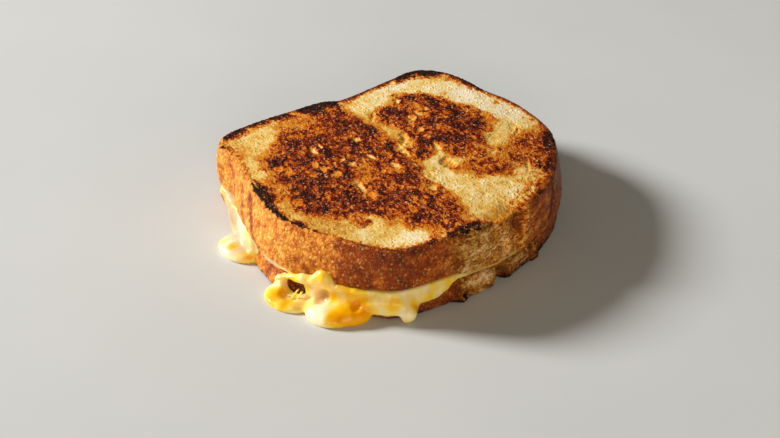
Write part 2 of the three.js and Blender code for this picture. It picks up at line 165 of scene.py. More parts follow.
# Open pores and large cells of the crumb: x, y, half width, half length, turn of their length, depth,
# paleness from golden to white.
PORES = [
    (-21.7, 25.2, 1.8, 3.5, 65, 0.7, 0.9), (-17.5, 26.8, 0.8, 2.4, 80, 0.3, 1),
    (-2.9, 23.1, 1.7, 1.9, 60, 0.4, 0.8), (-5.9, 8.9, 1.1, 3.2, 100, 0.4, 1),
    (-2.1, -1.5, 1.7, 2.8, 80, 0.4, 0.9), (-22.1, -5.7, 1.5, 5.8, 78, 0.5, 0.95),
    (-15.5, 8.1, 1.3, 2.2, 70, 0.3, 0.8), (-16.7, 13.5, 1.2, 1.8, 40, 0.3, 0.7),
    (-24.6, 6, 2.5, 3, 60, 0.4, 0.5), (-26.3, 12.3, 2.3, 1.7, 20, 0.4, 0.4),
    (-27.6, 16, 1.4, 2.2, 70, 0.3, 0.6), (-38.6, 17.7, 2.1, 2.6, 70, 0.4, 0.3),
    (-40.8, 22, 2.2, 2.4, 70, 0.3, 0.2), (-0.4, -22.3, 1.9, 2.2, 60, 0.4, 0.8),
    (7.1, 5.2, 1.2, 4.4, 80, 0.4, 0.9), (4.6, -14, 1.6, 4.4, 95, 0.3, 0.7),
    (-32.1, 11, 2.2, 2.1, 70, 0.3, 0.1), (-47.9, -1.5, 2.4, 2.8, 80, 0.3, 0.2),
    (-22.9, -13.6, 1.5, 3.6, 80, 0.3, 0.4), (25.4, 24, 2, 2.9, 60, 0.6, 0.8),
    (13.4, 13.5, 1.7, 4.8, 50, 0.7, 0.6), (15.9, -11, 3, 4.2, 80, 0.6, 0.3),
    (19.9, 0.5, 1.5, 3, 80, 0.5, 0.9), (41.9, -7, 2.4, 5.8, 38, 0.26, 0.7),
    (55.9, -3, 1.8, 3.8, 45, 0.22, 0.9), (54.9, -7, 0.8, 3.2, 40, 0.24, 1),
    (29.4, 38.5, 1.3, 2, 70, 0.4, 1), (29.9, 26, 1.2, 2.7, 100, 0.4, 0.9),
    (22.4, 14.5, 1.7, 2.3, 60, 0.4, 0.6), (34.9, 27, 1, 1.9, 60, 0.3, 0.7),
    (36.4, -1.5, 1.6, 1.7, 60, 0.3, 0.4), (50.4, 6.5, 2.4, 3.4, 80, 0.3, 0.2),
    (41.9, -28.5, 1, 4.2, 50, 0.3, 0.9), (13.4, 33.5, 1, 4.2, 45, 0.3, 0.6),
]
PORE_DEPTH, PORE_BENDS = 1.1, 2.2  # a factor on those depths, and the size of their rims' bends
# Small pores: how far apart, share of the places that have one, depth, how much they stay unbrowned.
SMALL_PORES = [(5.2, 0.24, 0.26, 0.6), (2.6, 0.4, 0.075, 0.5), (1.4, 0.45, 0.03, 0.35)]
GRAIN_TURN, GRAIN_STRETCH = 72, 1.3  # the crumb's cells are drawn out in this direction
PALE_CRUMB = 0.52  # paleness of the crumb where nothing changes it
# Rise of the face's and the crust's relief, in mm: bare and browned crumb, blisters and so on.
FACE_WAVES, CRUMB_SKIN, CRISP_SKIN, FACE_CHAR, FACE_SINK = 0.22, 0.045, 0.195, 0.3, 0.12
CRUST_LUMPS, BLISTER_RISE, CREASE_RISE, TEAR_RISE, CRUST_CHAR = 0.22, 0.12, 0.26, 0.5, 0.22
BLISTER_SPACING = 1.9
RAGGED_RIM, RAGGED_WIDTH = 0.22, 1.6  # how far the rim wanders in and out, and how far in from it

# Charred stretches of the griddled rim: from angle, to angle, width on the face, strength.
TOP_CHAR = [
    (159, 192, 0.8, 1), (190, 199, 0.7, 0.95), (200.5, 203, 0.6, 0.9), (134, 137, 2, 0.9),
    (120, 131, 2.2, 0.95), (111, 121, 1.6, 0.8), (101, 112, 2.3, 0.85), (78, 100, 4.4, 1),
    (54, 79, 0.6, 0.6), (37, 54.5, 4.4, 1), (22, 38, 1.4, 0.8), (7, 20, 0.5, 0.4), (337, 352, 1, 0.75),
    (322, 334, 0.9, 0.5), (304, 309, 1.2, 0.6), (251, 256, 0.7, 0.8), (257, 262.5, 1.3, 0.95),
    (263, 268, 1.1, 0.8), (243, 248, 0.7, 0.6),
]
BOTTOM_CHAR = [
    (0, 360, 1.4, 0.55), (172, 186, 1.4, 0.9), (236, 250, 2.6, 0.8), (252, 262, 4, 1),
    (277.5, 284, 6.5, 1), (284, 300, 3.4, 0.9), (298, 316, 6, 0.95), (20, 60, 3.6, 0.8),
    (95, 130, 3, 0.7),
]

# --- Numbers ---


def smooth(share):
    share = np.clip(share, 0, 1)
    return share * share * (3 - 2 * share)


def mix(a, b, share):
    return a + (b - a) * share


def bell(distance):
    """1 where the distance is 0, and falling off to 0 on both sides."""
    return np.exp(-(distance**2))


def at_stops(stops, degrees, column=1):
    """Smooth value between (angle, value, ...) stops, at angles in degrees."""
    table = np.array(stops, float)
    degrees = np.clip(degrees, table[0, 0], table[-1, 0])
    here = np.clip(np.searchsorted(table[:, 0], degrees, side="right") - 1, 0, len(table) - 2)
    share = (degrees - table[here, 0]) / (table[here + 1, 0] - table[here, 0])
    return mix(table[here, column], table[here + 1, column], smooth(share))


def lattice_random(cells, seed):
    """Numbers from 0 to 1, always the same for the same whole-number cells of shape (n, 3)."""
    x, y, z = (cells[:, axis].astype(np.int64).astype(np.uint32) for axis in range(3))
    mixed = x * np.uint32(73856093) ^ y * np.uint32(19349663) ^ z * np.uint32(83492791)
    mixed ^= np.uint32((seed * 2654435761) % 2**32)
    for shift, factor in ((15, 0x2C1B3C6D), (12, 0x297A2D39)):
        mixed = (mixed ^ (mixed >> np.uint32(shift))) * np.uint32(factor)
    return (mixed ^ (mixed >> np.uint32(15))) / 2.0**32


def noise(points, seed=0):
    """Gradient noise from about -1 to 1, with features about one unit across."""
    base = np.floor(points)
    inside = points - base
    fade = inside**3 * (inside * (inside * 6 - 15) + 10)
    total = np.zeros(len(points))
    for corner in itertools.product((0, 1), repeat=3):
        slopes = [lattice_random(base + corner, 7 * seed + axis) * 2 - 1 for axis in range(3)]
        away = inside - corner
        weight = np.prod(np.where(corner, fade, 1 - fade), axis=1)
        total += weight * sum(slope * away[:, axis] for axis, slope in enumerate(slopes))
    return 1.5 * total


def fractal(points, size, octaves=3, seed=0):
    """Noise with features of that size, in mm, and octaves of finer ones."""
    total = 0
    for octave in range(octaves):
        total = total + 0.5**octave * noise(points / size * 2**octave, seed + 11 * octave)
    return total


def scattered(points, size, seed=0):
    """Distance to the nearest of points scattered about that size apart, as a share of size, and a
    random number from 0 to 1 that belongs to it."""
    places = points / size
    base = np.floor(places)
    nearest = np.full(len(points), 9.0)
    owner = np.zeros(len(points))
    for step in itertools.product((-1, 0, 1), repeat=3):
        cell = base + step
        jitter = np.stack([lattice_random(cell, seed + axis) for axis in range(3)], axis=1)
        away = np.linalg.norm(cell + jitter - places, axis=1)
        owner = np.where(away < nearest, lattice_random(cell, seed + 3), owner)
        nearest = np.minimum(nearest, away)
    return nearest, owner


def between(a, b, start, end, t):
    """The value at t on the line from a at start to b at end."""
    return ((end - t) * a + (t - start) * b) / (end - start)


def closed_curve(stops, steps=24):
    """Points of the closed centripetal Catmull-Rom curve through the stops."""
    stops = np.array(stops, float)
    parts = []
    for i in range(len(stops)):
        p = [stops[(i + k) % len(stops)] for k in (-1, 0, 1, 2)]
        knots = np.cumsum([0] + [math.sqrt(math.dist(p[k], p[k + 1])) for k in range(3)])
        t = np.linspace(knots[1], knots[2], steps, endpoint=False)[:, None]
        p = [between(p[k], p[k + 1], knots[k], knots[k + 1], t) for k in range(3)]
        p = [between(p[k], p[k + 1], knots[k], knots[k + 2], t) for k in range(2)]
        parts.append(between(*p, knots[1], knots[2], t))
    return np.concatenate(parts)


def depth_inside(x, y, outline):
    """How far points lie inside a closed outline, in mm; negative outside."""
    corners = closed_curve(outline, 5)
    nearest = np.full(len(x), 1e9)
    crossings = np.zeros(len(x), int)
    for (ax, ay), (bx, by) in zip(corners, np.roll(corners, -1, axis=0)):
        dx, dy = bx - ax, by - ay
        share = np.clip(((x - ax) * dx + (y - ay) * dy) / (dx * dx + dy * dy), 0, 1)
        nearest = np.minimum(nearest, np.hypot(x - ax - share * dx, y - ay - share * dy))
        passes = (ay > y) != (by > y)
        crossings += passes & (x < ax + dx * (y - ay) / (dy if dy else 1e-9))
    return np.where(crossings % 2 == 1, nearest, -nearest)


def flat_points(x, y):
    """Points for the noise functions."""
    return np.stack([x, y, 0 * x], axis=1)


def polar(x, y):
    """Angle in radians, angle in degrees from 0 to 360 and distance from the Z axis."""
    angle = np.arctan2(y, x)
    return angle, np.degrees(angle) % 360, np.hypot(x, y)


def turned(x, y, degrees):
    """Distances along a direction and across it."""
    c, s = math.cos(math.radians(degrees)), math.sin(math.radians(degrees))
    return x * c + y * s, y * c - x * s


def in_ellipse(x, y, ellipse):
    """Distance from an ellipse's middle, 1 at its edge. Its turn is that of its length."""
    cx, cy, half_width, half_length, turn = ellipse[:5]
    along, across = turned(x - cx, y - cy, turn)
    return np.hypot(along / half_length, across / half_width)


def with_places(values, points, places):
    """Values with the change of each listed place added, which falls off over the place's radius."""
    for *middle, radius, change in places:
        values = values + change * bell(np.linalg.norm(points - middle, axis=1) / radius)
    return values


# --- The loaf's outline and heights, as the solids have them ---


def outline_table():
    """Angles and distances of the outline's points, in the order of their angles."""
    x, y = closed_curve(LOAF_OUTLINE, 60).T
    angle = np.arctan2(y, x)
    order = np.argsort(angle)
    return angle[order], np.hypot(x, y)[order]


OUTLINE_ANGLES, OUTLINE_RADII = outline_table()


def outline_radius(angle):
    return np.interp(angle, OUTLINE_ANGLES, OUTLINE_RADII, period=2 * math.pi)


def thinness(x, y):
    """How far the sandwich has thinned towards its thin end, 0 to about 1."""
    along, _ = turned(x, y, FALL_TOWARDS)
    return np.clip((along - FALL_STARTS) / FALL_LENGTH, 0, 1.1) ** 2


def face_relief(x, y):
    return sum(rise * np.exp(-1.6 * ((x - cx) ** 2 + (y - cy) ** 2) / radius**2)
               for cx, cy, radius, rise in FACE_RELIEF)


def top_face_height(x, y):
    return TOP_FACE - FACE_FALL * thinness(x, y) + face_relief(x, y)


def top_underside_height(x, y):
    return TOP_UNDERSIDE - SEAM_FALL * thinness(x, y)


def bottom_face_height(x, y):
    return BOTTOM_FACE - SEAM_LOWER_FALL * thinness(x, y)


def wander(angle, height, phase):
    """How far the crust wanders in and out, in mm."""
    wave = sum(size * np.sin(count * angle + shift * phase + lean * height)
               for count, size, shift, lean in CRUST_WAVES)
    return UNEVENNESS * wave / sum(size for _, size, _, _ in CRUST_WAVES)


def turn_from(angle, degrees):
    """Turn from an angle to others, from -180 to 180 degrees."""
    return (degrees - angle + 540) % 360 - 180


def side_bumps(bumps, degrees, height):
    """Sum of bumps round the side: angle, height, half width in mm, half height and size of each."""
    total = 0
    for angle, middle, half_width, half_height, size in bumps:
        across = np.radians(turn_from(angle, degrees)) * MEAN_RADIUS / half_width
        total = total + size * np.exp(-(across**2) - ((height - middle) / half_height) ** 2)
    return total


def crust_stand_out(piece, angle, height):
    """How far a slice's crust stands out beyond the outline, at an angle in radians."""
    degrees = np.degrees(angle) % 360
    return (at_stops(piece["flare"], degrees) * (1 - FLARE_LOST * smooth(height))
            + BELLY * np.sin(math.pi * height) + wander(angle, height, piece["phase"])
            - side_bumps(piece["dents"], degrees, height))


# --- Meshes ---


def make_object(name, vertices, faces, attributes):
    """A smooth-shaded object from vertices in mm in the loaf's coordinates, kept in the CAD box."""
    places = (vertices - FOOTPRINT_MIDDLE) * MM
    places = np.clip(places, np.array(cad_low), np.array(cad_high))
    mesh = bpy.data.meshes.new(name)
    mesh.from_pydata(places.tolist(), [], faces)
    mesh.polygons.foreach_set("use_smooth", np.ones(len(mesh.polygons), bool))
    for key, values in attributes.items():
        mesh.attributes.new(key, "FLOAT", "POINT").data.foreach_set("value", values.astype(np.float32))
    mesh.update()
    obj = bpy.data.objects.new(name, mesh)
    bpy.context.scene.collection.objects.link(obj)
    return obj


def disc_grid(count):
    """Angle and share of the way out, for a square grid of count by count stretched over a disc."""
    line = np.linspace(-1, 1, count)
    a, b = (part.ravel() for part in np.meshgrid(line, line))
    wide = np.abs(a) > np.abs(b)
    reach = np.where(wide, a, b)
    ratio = np.where(wide, b, a) / np.where(reach == 0, 1, reach)
    angle = np.where(wide, ratio * math.pi / 4, math.pi / 2 - ratio * math.pi / 4)
    return (angle + math.pi * (reach < 0)) % (2 * math.pi), np.abs(reach)


def slice_skin(piece):
    """Angle, share of the way out and share of the way from the griddled face to the other face, for
    each vertex of a slice's closed skin, with its faces."""
    count, rows = piece["grid"], piece["rows"]
    angle, share = disc_grid(count)
    grid = np.arange(count * count).reshape(count, count)
    border = np.concatenate([grid[0, :-1], grid[:-1, -1], grid[-1, :0:-1], grid[:0:-1, 0]])
    edge = EDGE_SHARE * (1 - np.cos(np.linspace(0, math.pi / 2, 6)[1:]))
    downs = [*edge, *np.linspace(EDGE_SHARE, 1 - EDGE_SHARE, rows)[1:-1], *(1 - edge[::-1]), 1]
    rings = [(1, down) for down in downs] + [(share_out, 1) for share_out in HIDDEN_SHARES]
    ring_shares, ring_downs = np.repeat(np.array(rings, float).T, len(border), axis=1)
    angles = np.concatenate([angle, np.tile(angle[border], len(rings)), [0]])
    shares = np.concatenate([share, ring_shares, [0]])
    down = np.concatenate([np.zeros(count**2), ring_downs, [1]])

    faces = np.stack([grid[:-1, :-1], grid[:-1, 1:], grid[1:, 1:], grid[1:, :-1]], -1).reshape(-1, 4)
    loops = [border, *(count**2 + np.arange(len(rings) * len(border)).reshape(len(rings), -1))]
    quads = [np.stack([upper, lower, np.roll(lower, -1), np.roll(upper, -1)], -1)
             for upper, lower in zip(loops, loops[1:])]
    middle = len(angles) - 1
    fan = np.stack([loops[-1], np.full(len(border), middle), np.roll(loops[-1], -1)], -1)
    faces = np.concatenate([faces, *quads]).tolist() + fan.tolist()
    if not piece["griddled_up"]:
        faces = [face[::-1] for face in faces]
    return angles, shares, down, faces


# --- A slice's relief and browning ---


def along_grain(x, y):
    """Places in which the crumb's cells are round, as points."""
    along, across = turned(x, y, GRAIN_TURN)
    return flat_points(along / GRAIN_STRETCH, across)


def small_pores(x, y, seed):
    """Depth of the crumb's small pores, and how much each place is inside one, 0 to 1."""
    flat = flat_points(x, y)
    bends = flat_points(noise(flat / PORE_BENDS, 5), noise(flat / PORE_BENDS, 6))
    grain = along_grain(x, y) + 0.55 * bends
    depth, inside = np.zeros(len(x)), np.zeros(len(x))
    for size, share_open, deepest, unbrowned in SMALL_PORES:
        away, owner = scattered(grain, size, seed)
        radius = 0.14 + 0.26 * (owner % 0.2) / 0.2
        bowl = smooth(1.3 * (1 - away / radius)) * (owner < share_open)
        depth = np.maximum(depth, deepest * bowl)
        inside = np.maximum(inside, unbrowned * bowl)
        seed += 20
    return depth, inside


def large_pores(x, y, pores):
    """Depth of the listed pores, how much each place is inside one and on its rim, and how pale."""
    flat = flat_points(x, y)
    ragged = 0.5 * noise(flat / PORE_BENDS, 5) + 0.34 * fractal(flat, 1.2, 2, 8)
    depth, inside, rim, paleness = (np.zeros(len(x)) for _ in range(4))
    for pore in pores:
        away = in_ellipse(x, y, pore) + ragged
        bowl = smooth(1.6 * (1.15 - away))
        depth = np.maximum(depth, PORE_DEPTH * pore[5] * bowl)
        paleness = np.where(bowl > inside, pore[6], paleness)
        inside = np.maximum(inside, bowl)
        rim = np.maximum(rim, bell((away - 1.3) / 0.3))
    return depth, inside, rim * (1 - inside), paleness


def rim_char(stretches, degrees, from_edge, flat):
    """How charred the rim is, from the distance to the griddled edge in mm, and how far the browning
    around the char goes."""
    char, halo = np.zeros(len(degrees)), np.zeros(len(degrees))
    ragged = np.clip(1 + 1.2 * fractal(flat, 2.2, 3, 41), 0.1, 2.6)
    patchy = np.clip(0.92 + 0.5 * fractal(flat, 1.3, 2, 47), 0, 1)
    wobble = 1.6 * noise(flat / 2.5, 43)
    for start, end, width, strength in stretches:
        half = (end - start) / 2
        turn = np.abs(turn_from((start + end) / 2, degrees + wobble))
        taper = smooth((half - turn) / (0.3 * half + 1.5)) if half < 180 else 1
        inward = smooth(1.35 - 0.8 * from_edge / np.maximum(width * ragged * taper, 0.05))
        char = np.maximum(char, strength * inward * patchy * (taper > 0))
        reach = 1.4 + 1.1 * width
        halo = np.maximum(halo, 0.85 * strength * taper * bell(from_edge / reach))
    return char, halo


def top_browning(x, y, flat):
    """Browning of the top slice's face, 0 to about 1."""
    warp_x, warp_y = (place + 2.4 * fractal(flat, 6, 3, seed) for place, seed in ((x, 61), (y, 67)))
    browning = np.zeros(len(x))
    for outline, level, softness in BROWNED:
        depth = depth_inside(warp_x, warp_y, outline)
        amount = level * smooth(0.5 + depth / (2 * softness)) + 0.15 * smooth(0.75 + depth / 11)
        browning = np.maximum(browning, amount - 0.05)
    for spot in SPOTS:
        browning += spot[5] * smooth(1.5 - in_ellipse(warp_x, warp_y, spot))
    return browning


def underside_browning(x, y, flat):
    """Browning of the bottom slice's underside, which lay on the griddle: patches all over."""
    return 0.5 + 0.55 * fractal(flat, 26, 3, 71)


def rounding(share):
    """How far in a rounded edge is: 1 at the face, 0 where the rounding ends."""
    return 1 - np.sqrt(1 - (1 - np.clip(share, 0, 1)) ** 2)


def slice_form(piece, angle, share, down):
    """The plain form of a slice, with both edges rounded and its torn rim rolled off: radius, place and
    distance from the griddled edge of each vertex."""
    height = 1 - down if piece["griddled_up"] else down
    degrees = np.degrees(angle) % 360
    griddled_inset = EDGE_INSET * rounding(down / EDGE_SHARE)
    seam_inset = at_stops(piece["seam_inset"], degrees) * rounding((1 - down) / EDGE_SHARE)
    dents = {**piece, "dents": piece["dents"] + piece["fine_dents"]}
    edge = outline_radius(angle) + crust_stand_out(dents, angle, height)
    reach = share * (edge - griddled_inset - seam_inset)
    x, y = reach * np.cos(angle), reach * np.sin(angle)
    lower, upper = piece["lower"](x, y), piece["upper"](x, y)
    z = mix(lower, upper, height)
    from_edge = (1 - share) * edge + down * (upper - lower)
    z = z - at_stops(piece["roll_off"], degrees) * bell(from_edge / ROLL_WIDTH)
    near_seam = smooth((down - CLOSING_FROM) / (1 - CLOSING_FROM))
    near_seam = near_seam * smooth((share - CLOSING_OUT) / (1 - CLOSING_OUT))
    z = z + (-1 if piece["griddled_up"] else 1) * at_stops(piece["closing"], degrees) * near_seam
    return reach, x, y, z, from_edge


def face_toast(browning, flat, grain, cell, pore_rim, glow, halo):
    """Browning with its mottling, its paler cells, the glow of the rim and the halo of the char."""
    mottled = 0.9 * fractal(grain, 5.5, 2, 12) + 0.5 * fractal(grain, 1.9, 3, 13)
    browned = smooth(1.8 * browning)
    toast = browning + mix(0.08, 0.36, browned) * mottled + 0.12 * browned * pore_rim
    toast = toast + 0.2 * browned * (smooth((cell - 0.2) / 0.4) - 0.6)
    return toast + glow * (1 + 0.9 * fractal(flat, 2.6, 3, 17)) + halo * (1 + 0.6 * mottled)


def griddled_face(piece, x, y, from_edge, degrees, halo):
    """Rise of the griddled face in mm, with its browning, pores and paleness."""
    flat, grain = flat_points(x, y), along_grain(x, y)
    browning = piece["browning"](x, y, flat)
    away_from_rim = smooth(from_edge / 2.2)
    pores, inside_small = (part * away_from_rim for part in small_pores(x, y, piece["seed"]))
    pits, inside_pore, pore_rim, paleness = large_pores(x, y, piece["pores"])
    cell, _ = scattered(grain, 4.4, 77)
    crisp = fractal(grain, 1.5, 3, 3)
    skin = mix(CRUMB_SKIN, CRISP_SKIN, smooth(1.4 * browning))
    rise = FACE_WAVES * fractal(flat, 15, 2, 9) + skin * crisp - pores - pits - FACE_SINK

    glow = at_stops(RIM_BROWNING, degrees) * np.exp(-from_edge / at_stops(RIM_REACH, degrees))
    toast = face_toast(browning, flat, grain, cell, pore_rim, glow, halo)
    toast = toast + 0.1 * crisp - 0.8 * inside_small * smooth(toast + 0.4)
    toast = mix(toast, 0.34 * (1 - paleness), 0.9 * inside_pore)
    pale = PALE_CRUMB + 0.18 * fractal(flat, 7, 3, 29) - 0.5 * smooth(3 * browning)
    pale = with_places(pale, flat[:, :2], PALE)
    rolled = smooth(at_stops(piece["roll_off"], degrees)) * bell(from_edge / TORN_RIM)
    # Warmer gold where the torn rim rolls off and faces away from the key: painted warm bounce light.
    pale, toast = pale - 0.1 * rolled, toast + 0.16 * rolled
    pale = mix(pale, 0.1 + 0.5 * paleness, inside_pore)
    return rise, toast, np.maximum(inside_pore, inside_small), pale


def crust_relief(piece, degrees, solid, from_face, char):
    """How far the crust stands out from its plain form: creases, blisters, crags and tears."""
    torn, creased = at_stops(piece["torn"], degrees), at_stops(piece["creased"], degrees)
    z = solid[:, 2]
    warped = degrees * 1.05 + 2.2 * noise(solid / 8, 15)
    crease = fractal(flat_points(warped, 0.16 * z), 2.4, 3, 23)
    away, owner = scattered(solid, BLISTER_SPACING, 51)
    blister = smooth(1 - away / 0.45) * (owner > 0.4)
    pulled = solid + 1.4 * np.stack([noise(solid / 4, seed) for seed in (32, 33, 34)], axis=1)
    tear = fractal(pulled * (1, 1, 1.5), 3, 4, 27)
    rough = fractal(solid, 1.4, 2, 31)
    swell = CRUST_LUMPS * fractal(solid, 8, 2, 19) + CREASE_RISE * creased * crease
    swell = swell + BLISTER_RISE * blister * (1 - torn) + torn * (TEAR_RISE * tear - 0.1)
    swell = swell + CRUST_CHAR * smooth(char) * rough
    painted_groove_shade = 0 * z
    for angle, lean, width, rise, low, high in piece["folds"]:
        across = (degrees - angle - lean * (z - low)) / width
        fold = smooth((z - low) / 2) * smooth((high - z) / 2) * bell(across)
        swell = swell + rise * fold
        # A sunken fold is painted darker: painted shade in its groove.
        painted_groove_shade = painted_groove_shade - min(rise, 0) * fold
    torn = torn + 0.5 * torn * (1 - torn) * fractal(solid, 3.5, 3, 57)
    return swell * smooth(from_face / EDGE_SHARE + 0.25), torn, painted_groove_shade


def slice_object(piece):
    """A slice with its finish as vertex attributes."""
    angle, share, down, faces = slice_skin(piece)
    degrees = np.degrees(angle) % 360
    reach, x, y, z, from_edge = slice_form(piece, angle, share, down)
    flat = flat_points(x, y)
    solid = np.stack([x, y, z], axis=1)
    char, halo = rim_char(piece["char"], degrees, from_edge * (1 + 1.4 * (down > 0)), flat)
    rise, toast, inside_pore, pale = griddled_face(piece, x, y, from_edge, degrees, halo)
    swell, torn, painted_groove_shade = crust_relief(piece, degrees, solid, np.minimum(down, 1 - down), char)

    face = smooth(1 - down / EDGE_SHARE)
    side = (1 - face) * share
    rough = fractal(solid, 1.3, 2, 35)
    ragged = RAGGED_RIM * rough * bell(from_edge / RAGGED_WIDTH)
    rise = rise + FACE_CHAR * smooth(char) * rough
    reach = reach + side * swell + ragged * share
    up = 1 if piece["griddled_up"] else -1
    z = z + up * rise * face * (down < 0.5)
    vertices = np.stack([reach * np.cos(angle), reach * np.sin(angle), z], axis=1)

    rolled = smooth(at_stops(piece["roll_off"], degrees))
    rim = np.maximum(smooth((1 - from_edge) / 0.9 + 0.35 * rough), (1 - face) * (1 - 0.6 * rolled))
    # Painted shade in the grooves of sunken folds darkens the crust there.
    shade = at_stops(piece["shade"], degrees) + 0.12 * fractal(solid, 5, 3, 37) + 1.5 * painted_groove_shade
    near_griddle = bell(from_edge / 2.6) * (1 - face)
    return make_object(piece["name"], vertices, faces, {
        "toast": toast * face + (1 - face) * 0.5 * (1 - rolled), "char": char, "pale": pale,
        "crust": np.maximum(rim * (1 - rolled), smooth(1.6 * (1 - face))), "torn": torn,
        "shade": shade + 0.1 * near_griddle, "pore": inside_pore * face,
        "ember": at_stops(piece["ember"], degrees) + 0.3 * fractal(solid, 4, 2, 39),
        # Tone of the torn side, partly painted shade in its dents and painted light on its lumps.
        "tone": side_bumps(piece["tones_and_painted_light"], degrees, z),
    })


TOP_SLICE = {
    "name": "top_slice_bread", "griddled_up": True, "grid": 250, "rows": 24, "seed": 100,
    "lower": top_underside_height, "upper": top_face_height, "flare": TOP_FLARE, "dents": TOP_DENTS,
    "phase": 0.6, "char": TOP_CHAR, "pores": PORES, "browning": top_browning,
    # Finer dents than the solid's, in the same form.
    "fine_dents": [
        (288.4, 0.85, 1.7, 0.34, 1.8), (286.8, 0.4, 1.8, 0.22, 0.8), (293.2, 0.86, 1.8, 0.24, -0.9),
        (290.8, 0.62, 1.1, 0.2, -0.6), (280.6, 0.36, 1.5, 0.13, 1.3), (284.2, 0.8, 1.6, 0.3, -0.4),
        (268, 0.5, 3, 0.3, -0.5), (297, 0.4, 2, 0.6, 0.5),
    ],
    # Lighter and darker places of the torn side, partly painted shade in its dents and painted light
    # on its lumps: angle, z, half width, half height, change.
    "tones_and_painted_light": [
        (288.4, 22, 1.7, 4.6, -0.16), (285, 21, 1.2, 4, 0.07), (292.6, 23.6, 1.2, 2.4, 0.14),
        (290.6, 20.5, 0.9, 1.8, 0.1), (280.8, 17.6, 1.5, 2.4, -0.14), (278.2, 18.8, 0.9, 2.6, 0.09),
        (264, 20, 6, 6, 0.02), (268, 16, 5, 3, 0.03), (288, 12.6, 9, 1.6, 0.06),
        (257, 16, 3, 5, -0.02), (276, 24, 4, 2.2, -0.03),
    ],
    # How orange the torn crumb is, as (angle, share).
    "ember": [
        (0, 0.5), (246, 0.8), (256, 0.4), (263, 0.05), (271, 0.1), (276, 0.4), (286, 0.5),
        (294, 0.95), (306, 0.8), (360, 0.5),
    ],
    # How deep the seam's edge is rounded, how far its crust comes down to close the seam and how far
    # its torn rim falls, as (angle, mm).
    "seam_inset": [(0, 1.5), (255, 1.5), (264, 0.6), (345, 0.6), (356, 1.5), (360, 1.5)],
    "closing": [
        (0, 0.4), (16, 1.1), (34, 0.2), (52, 0.9), (76, 0.1), (96, 0.9), (118, 0.3), (132, 0),
        (160, 0), (171, -0.8), (188, -0.7), (196, 0), (252, 0), (262, 1.6), (276, 2.5), (300, 2.5),
        (335, 1.4), (350, 0.7), (360, 0.4),
    ],
    "roll_off": [(0, 0), (262, 0), (270, 0.5), (277, 0.9), (286, 1.2), (291, 0.7), (296, 0), (360, 0)],
    # Folds of the crust: angle at their foot, lean in degrees a mm, width, rise, from and to z. A fold
    # that sinks gets painted shade in its groove.
    "folds": [
        (178, -1.05, 2.2, -0.34, 12, 27.5), (182.6, -1, 2.2, 0.3, 12, 27),
        (158, -0.9, 2.2, 0.3, 12, 27), (165, -0.8, 1.8, -0.2, 12, 26), (149, -0.6, 1.6, -0.2, 12, 26),
        (303, 0.3, 1.6, 0.4, 11, 26), (311, 0.3, 1.2, -0.4, 11, 26), (318, 0.2, 1.6, 0.35, 11, 25),
    ],
    # How torn open, how creased and how dark the crust is, as (angle, share).
    "torn": [(0, 0), (244, 0), (260, 0.95), (290, 1), (300, 0.7), (310, 0.4), (318, 0.1), (360, 0)],
    "creased": [
        (0, 0.3), (120, 0.3), (140, 1), (196, 0.9), (206, 0.2), (240, 0.1), (300, 0.2), (312, 0.6),
        (330, 0.6), (360, 0.3),
    ],
    "shade": [
        (0, 0.64), (60, 0.7), (120, 0.6), (134, 0.28), (165, 0.24), (188, 0.3), (206, 0.4),
        (220, 0.72), (236, 0.76), (250, 0.64), (262, 0.42), (288, 0.42), (300, 0.56), (312, 0.64),
        (330, 0.78), (360, 0.64),
    ],
}
BOTTOM_SLICE = {
    "name": "bottom_slice_bread", "griddled_up": False, "grid": 190, "rows": 15, "seed": 300,
    "lower": lambda x, y: 0 * x, "upper": bottom_face_height, "flare": BOTTOM_FLARE,
    "dents": BOTTOM_DENTS, "phase": 2.9, "char": BOTTOM_CHAR, "pores": [],
    "browning": underside_browning, "fine_dents": [(283, 0.5, 3, 0.8, -0.5), (262, 0.6, 2, 0.5, 0.5)],
    # Lighter and darker places as on the top slice, partly painted light on the lump and painted shade
    # at the cleft.
    "tones_and_painted_light": [
        (269, 7, 7, 3, 0.16), (266, 4, 3, 2, 0.06), (276, 5.5, 1.2, 4, 0.08), (280, 4, 2.2, 4, -0.2),
        (287, 6.4, 5, 2.4, 0.12), (293, 5, 2, 2, -0.02), (262, 7, 3, 2, 0.06),
    ],
    "ember": [
        (0, 0.5), (240, 0.9), (255, 0.75), (260, 0.12), (268, 0.02), (276, 0.05), (290, 0.1),
        (298, 0.35), (308, 0.9), (360, 0.5),
    ],
    "seam_inset": [(0, 1.5), (255, 1.5), (264, 0.7), (345, 0.7), (356, 1.5), (360, 1.5)],
    "closing": [
        (0, 0.1), (12, 0.7), (30, 0.2), (46, 0.9), (66, 0.2), (88, 0.8), (112, 0.1), (130, 0),
        (264, 0), (276, -0.7), (300, -0.7), (335, 0.4), (360, 0.1),
    ],
    "roll_off": [(0, 0), (360, 0)],
    # The deep sunken fold at 198 degrees is painted shade: a dark groove where the hole in the cheese
    # goes deep under the top slice.
    "folds": [(181, 0.2, 1.4, -0.3, 0, 8), (176, 0.2, 1.2, 0.3, 0, 8), (198, 0, 4.5, -1, 1, 10)],
    "torn": [(0, 0.1), (250, 0.2), (260, 0.9), (300, 0.95), (312, 0.4), (360, 0.1)],
    "creased": [(0, 0.3), (150, 0.8), (200, 0.8), (240, 0.4), (360, 0.3)],
    "shade": [
        (0, 0.7), (90, 0.62), (150, 0.4), (176, 0.4), (196, 0.5), (240, 0.72), (254, 0.78),
        (262, 0.58), (268, 0.56), (276, 0.62), (292, 0.74), (306, 0.85), (360, 0.7),
    ],
}

# --- The cheese ---

LAYER_PHASE = 4.1  # of the waves in the edge of the layer between the slices
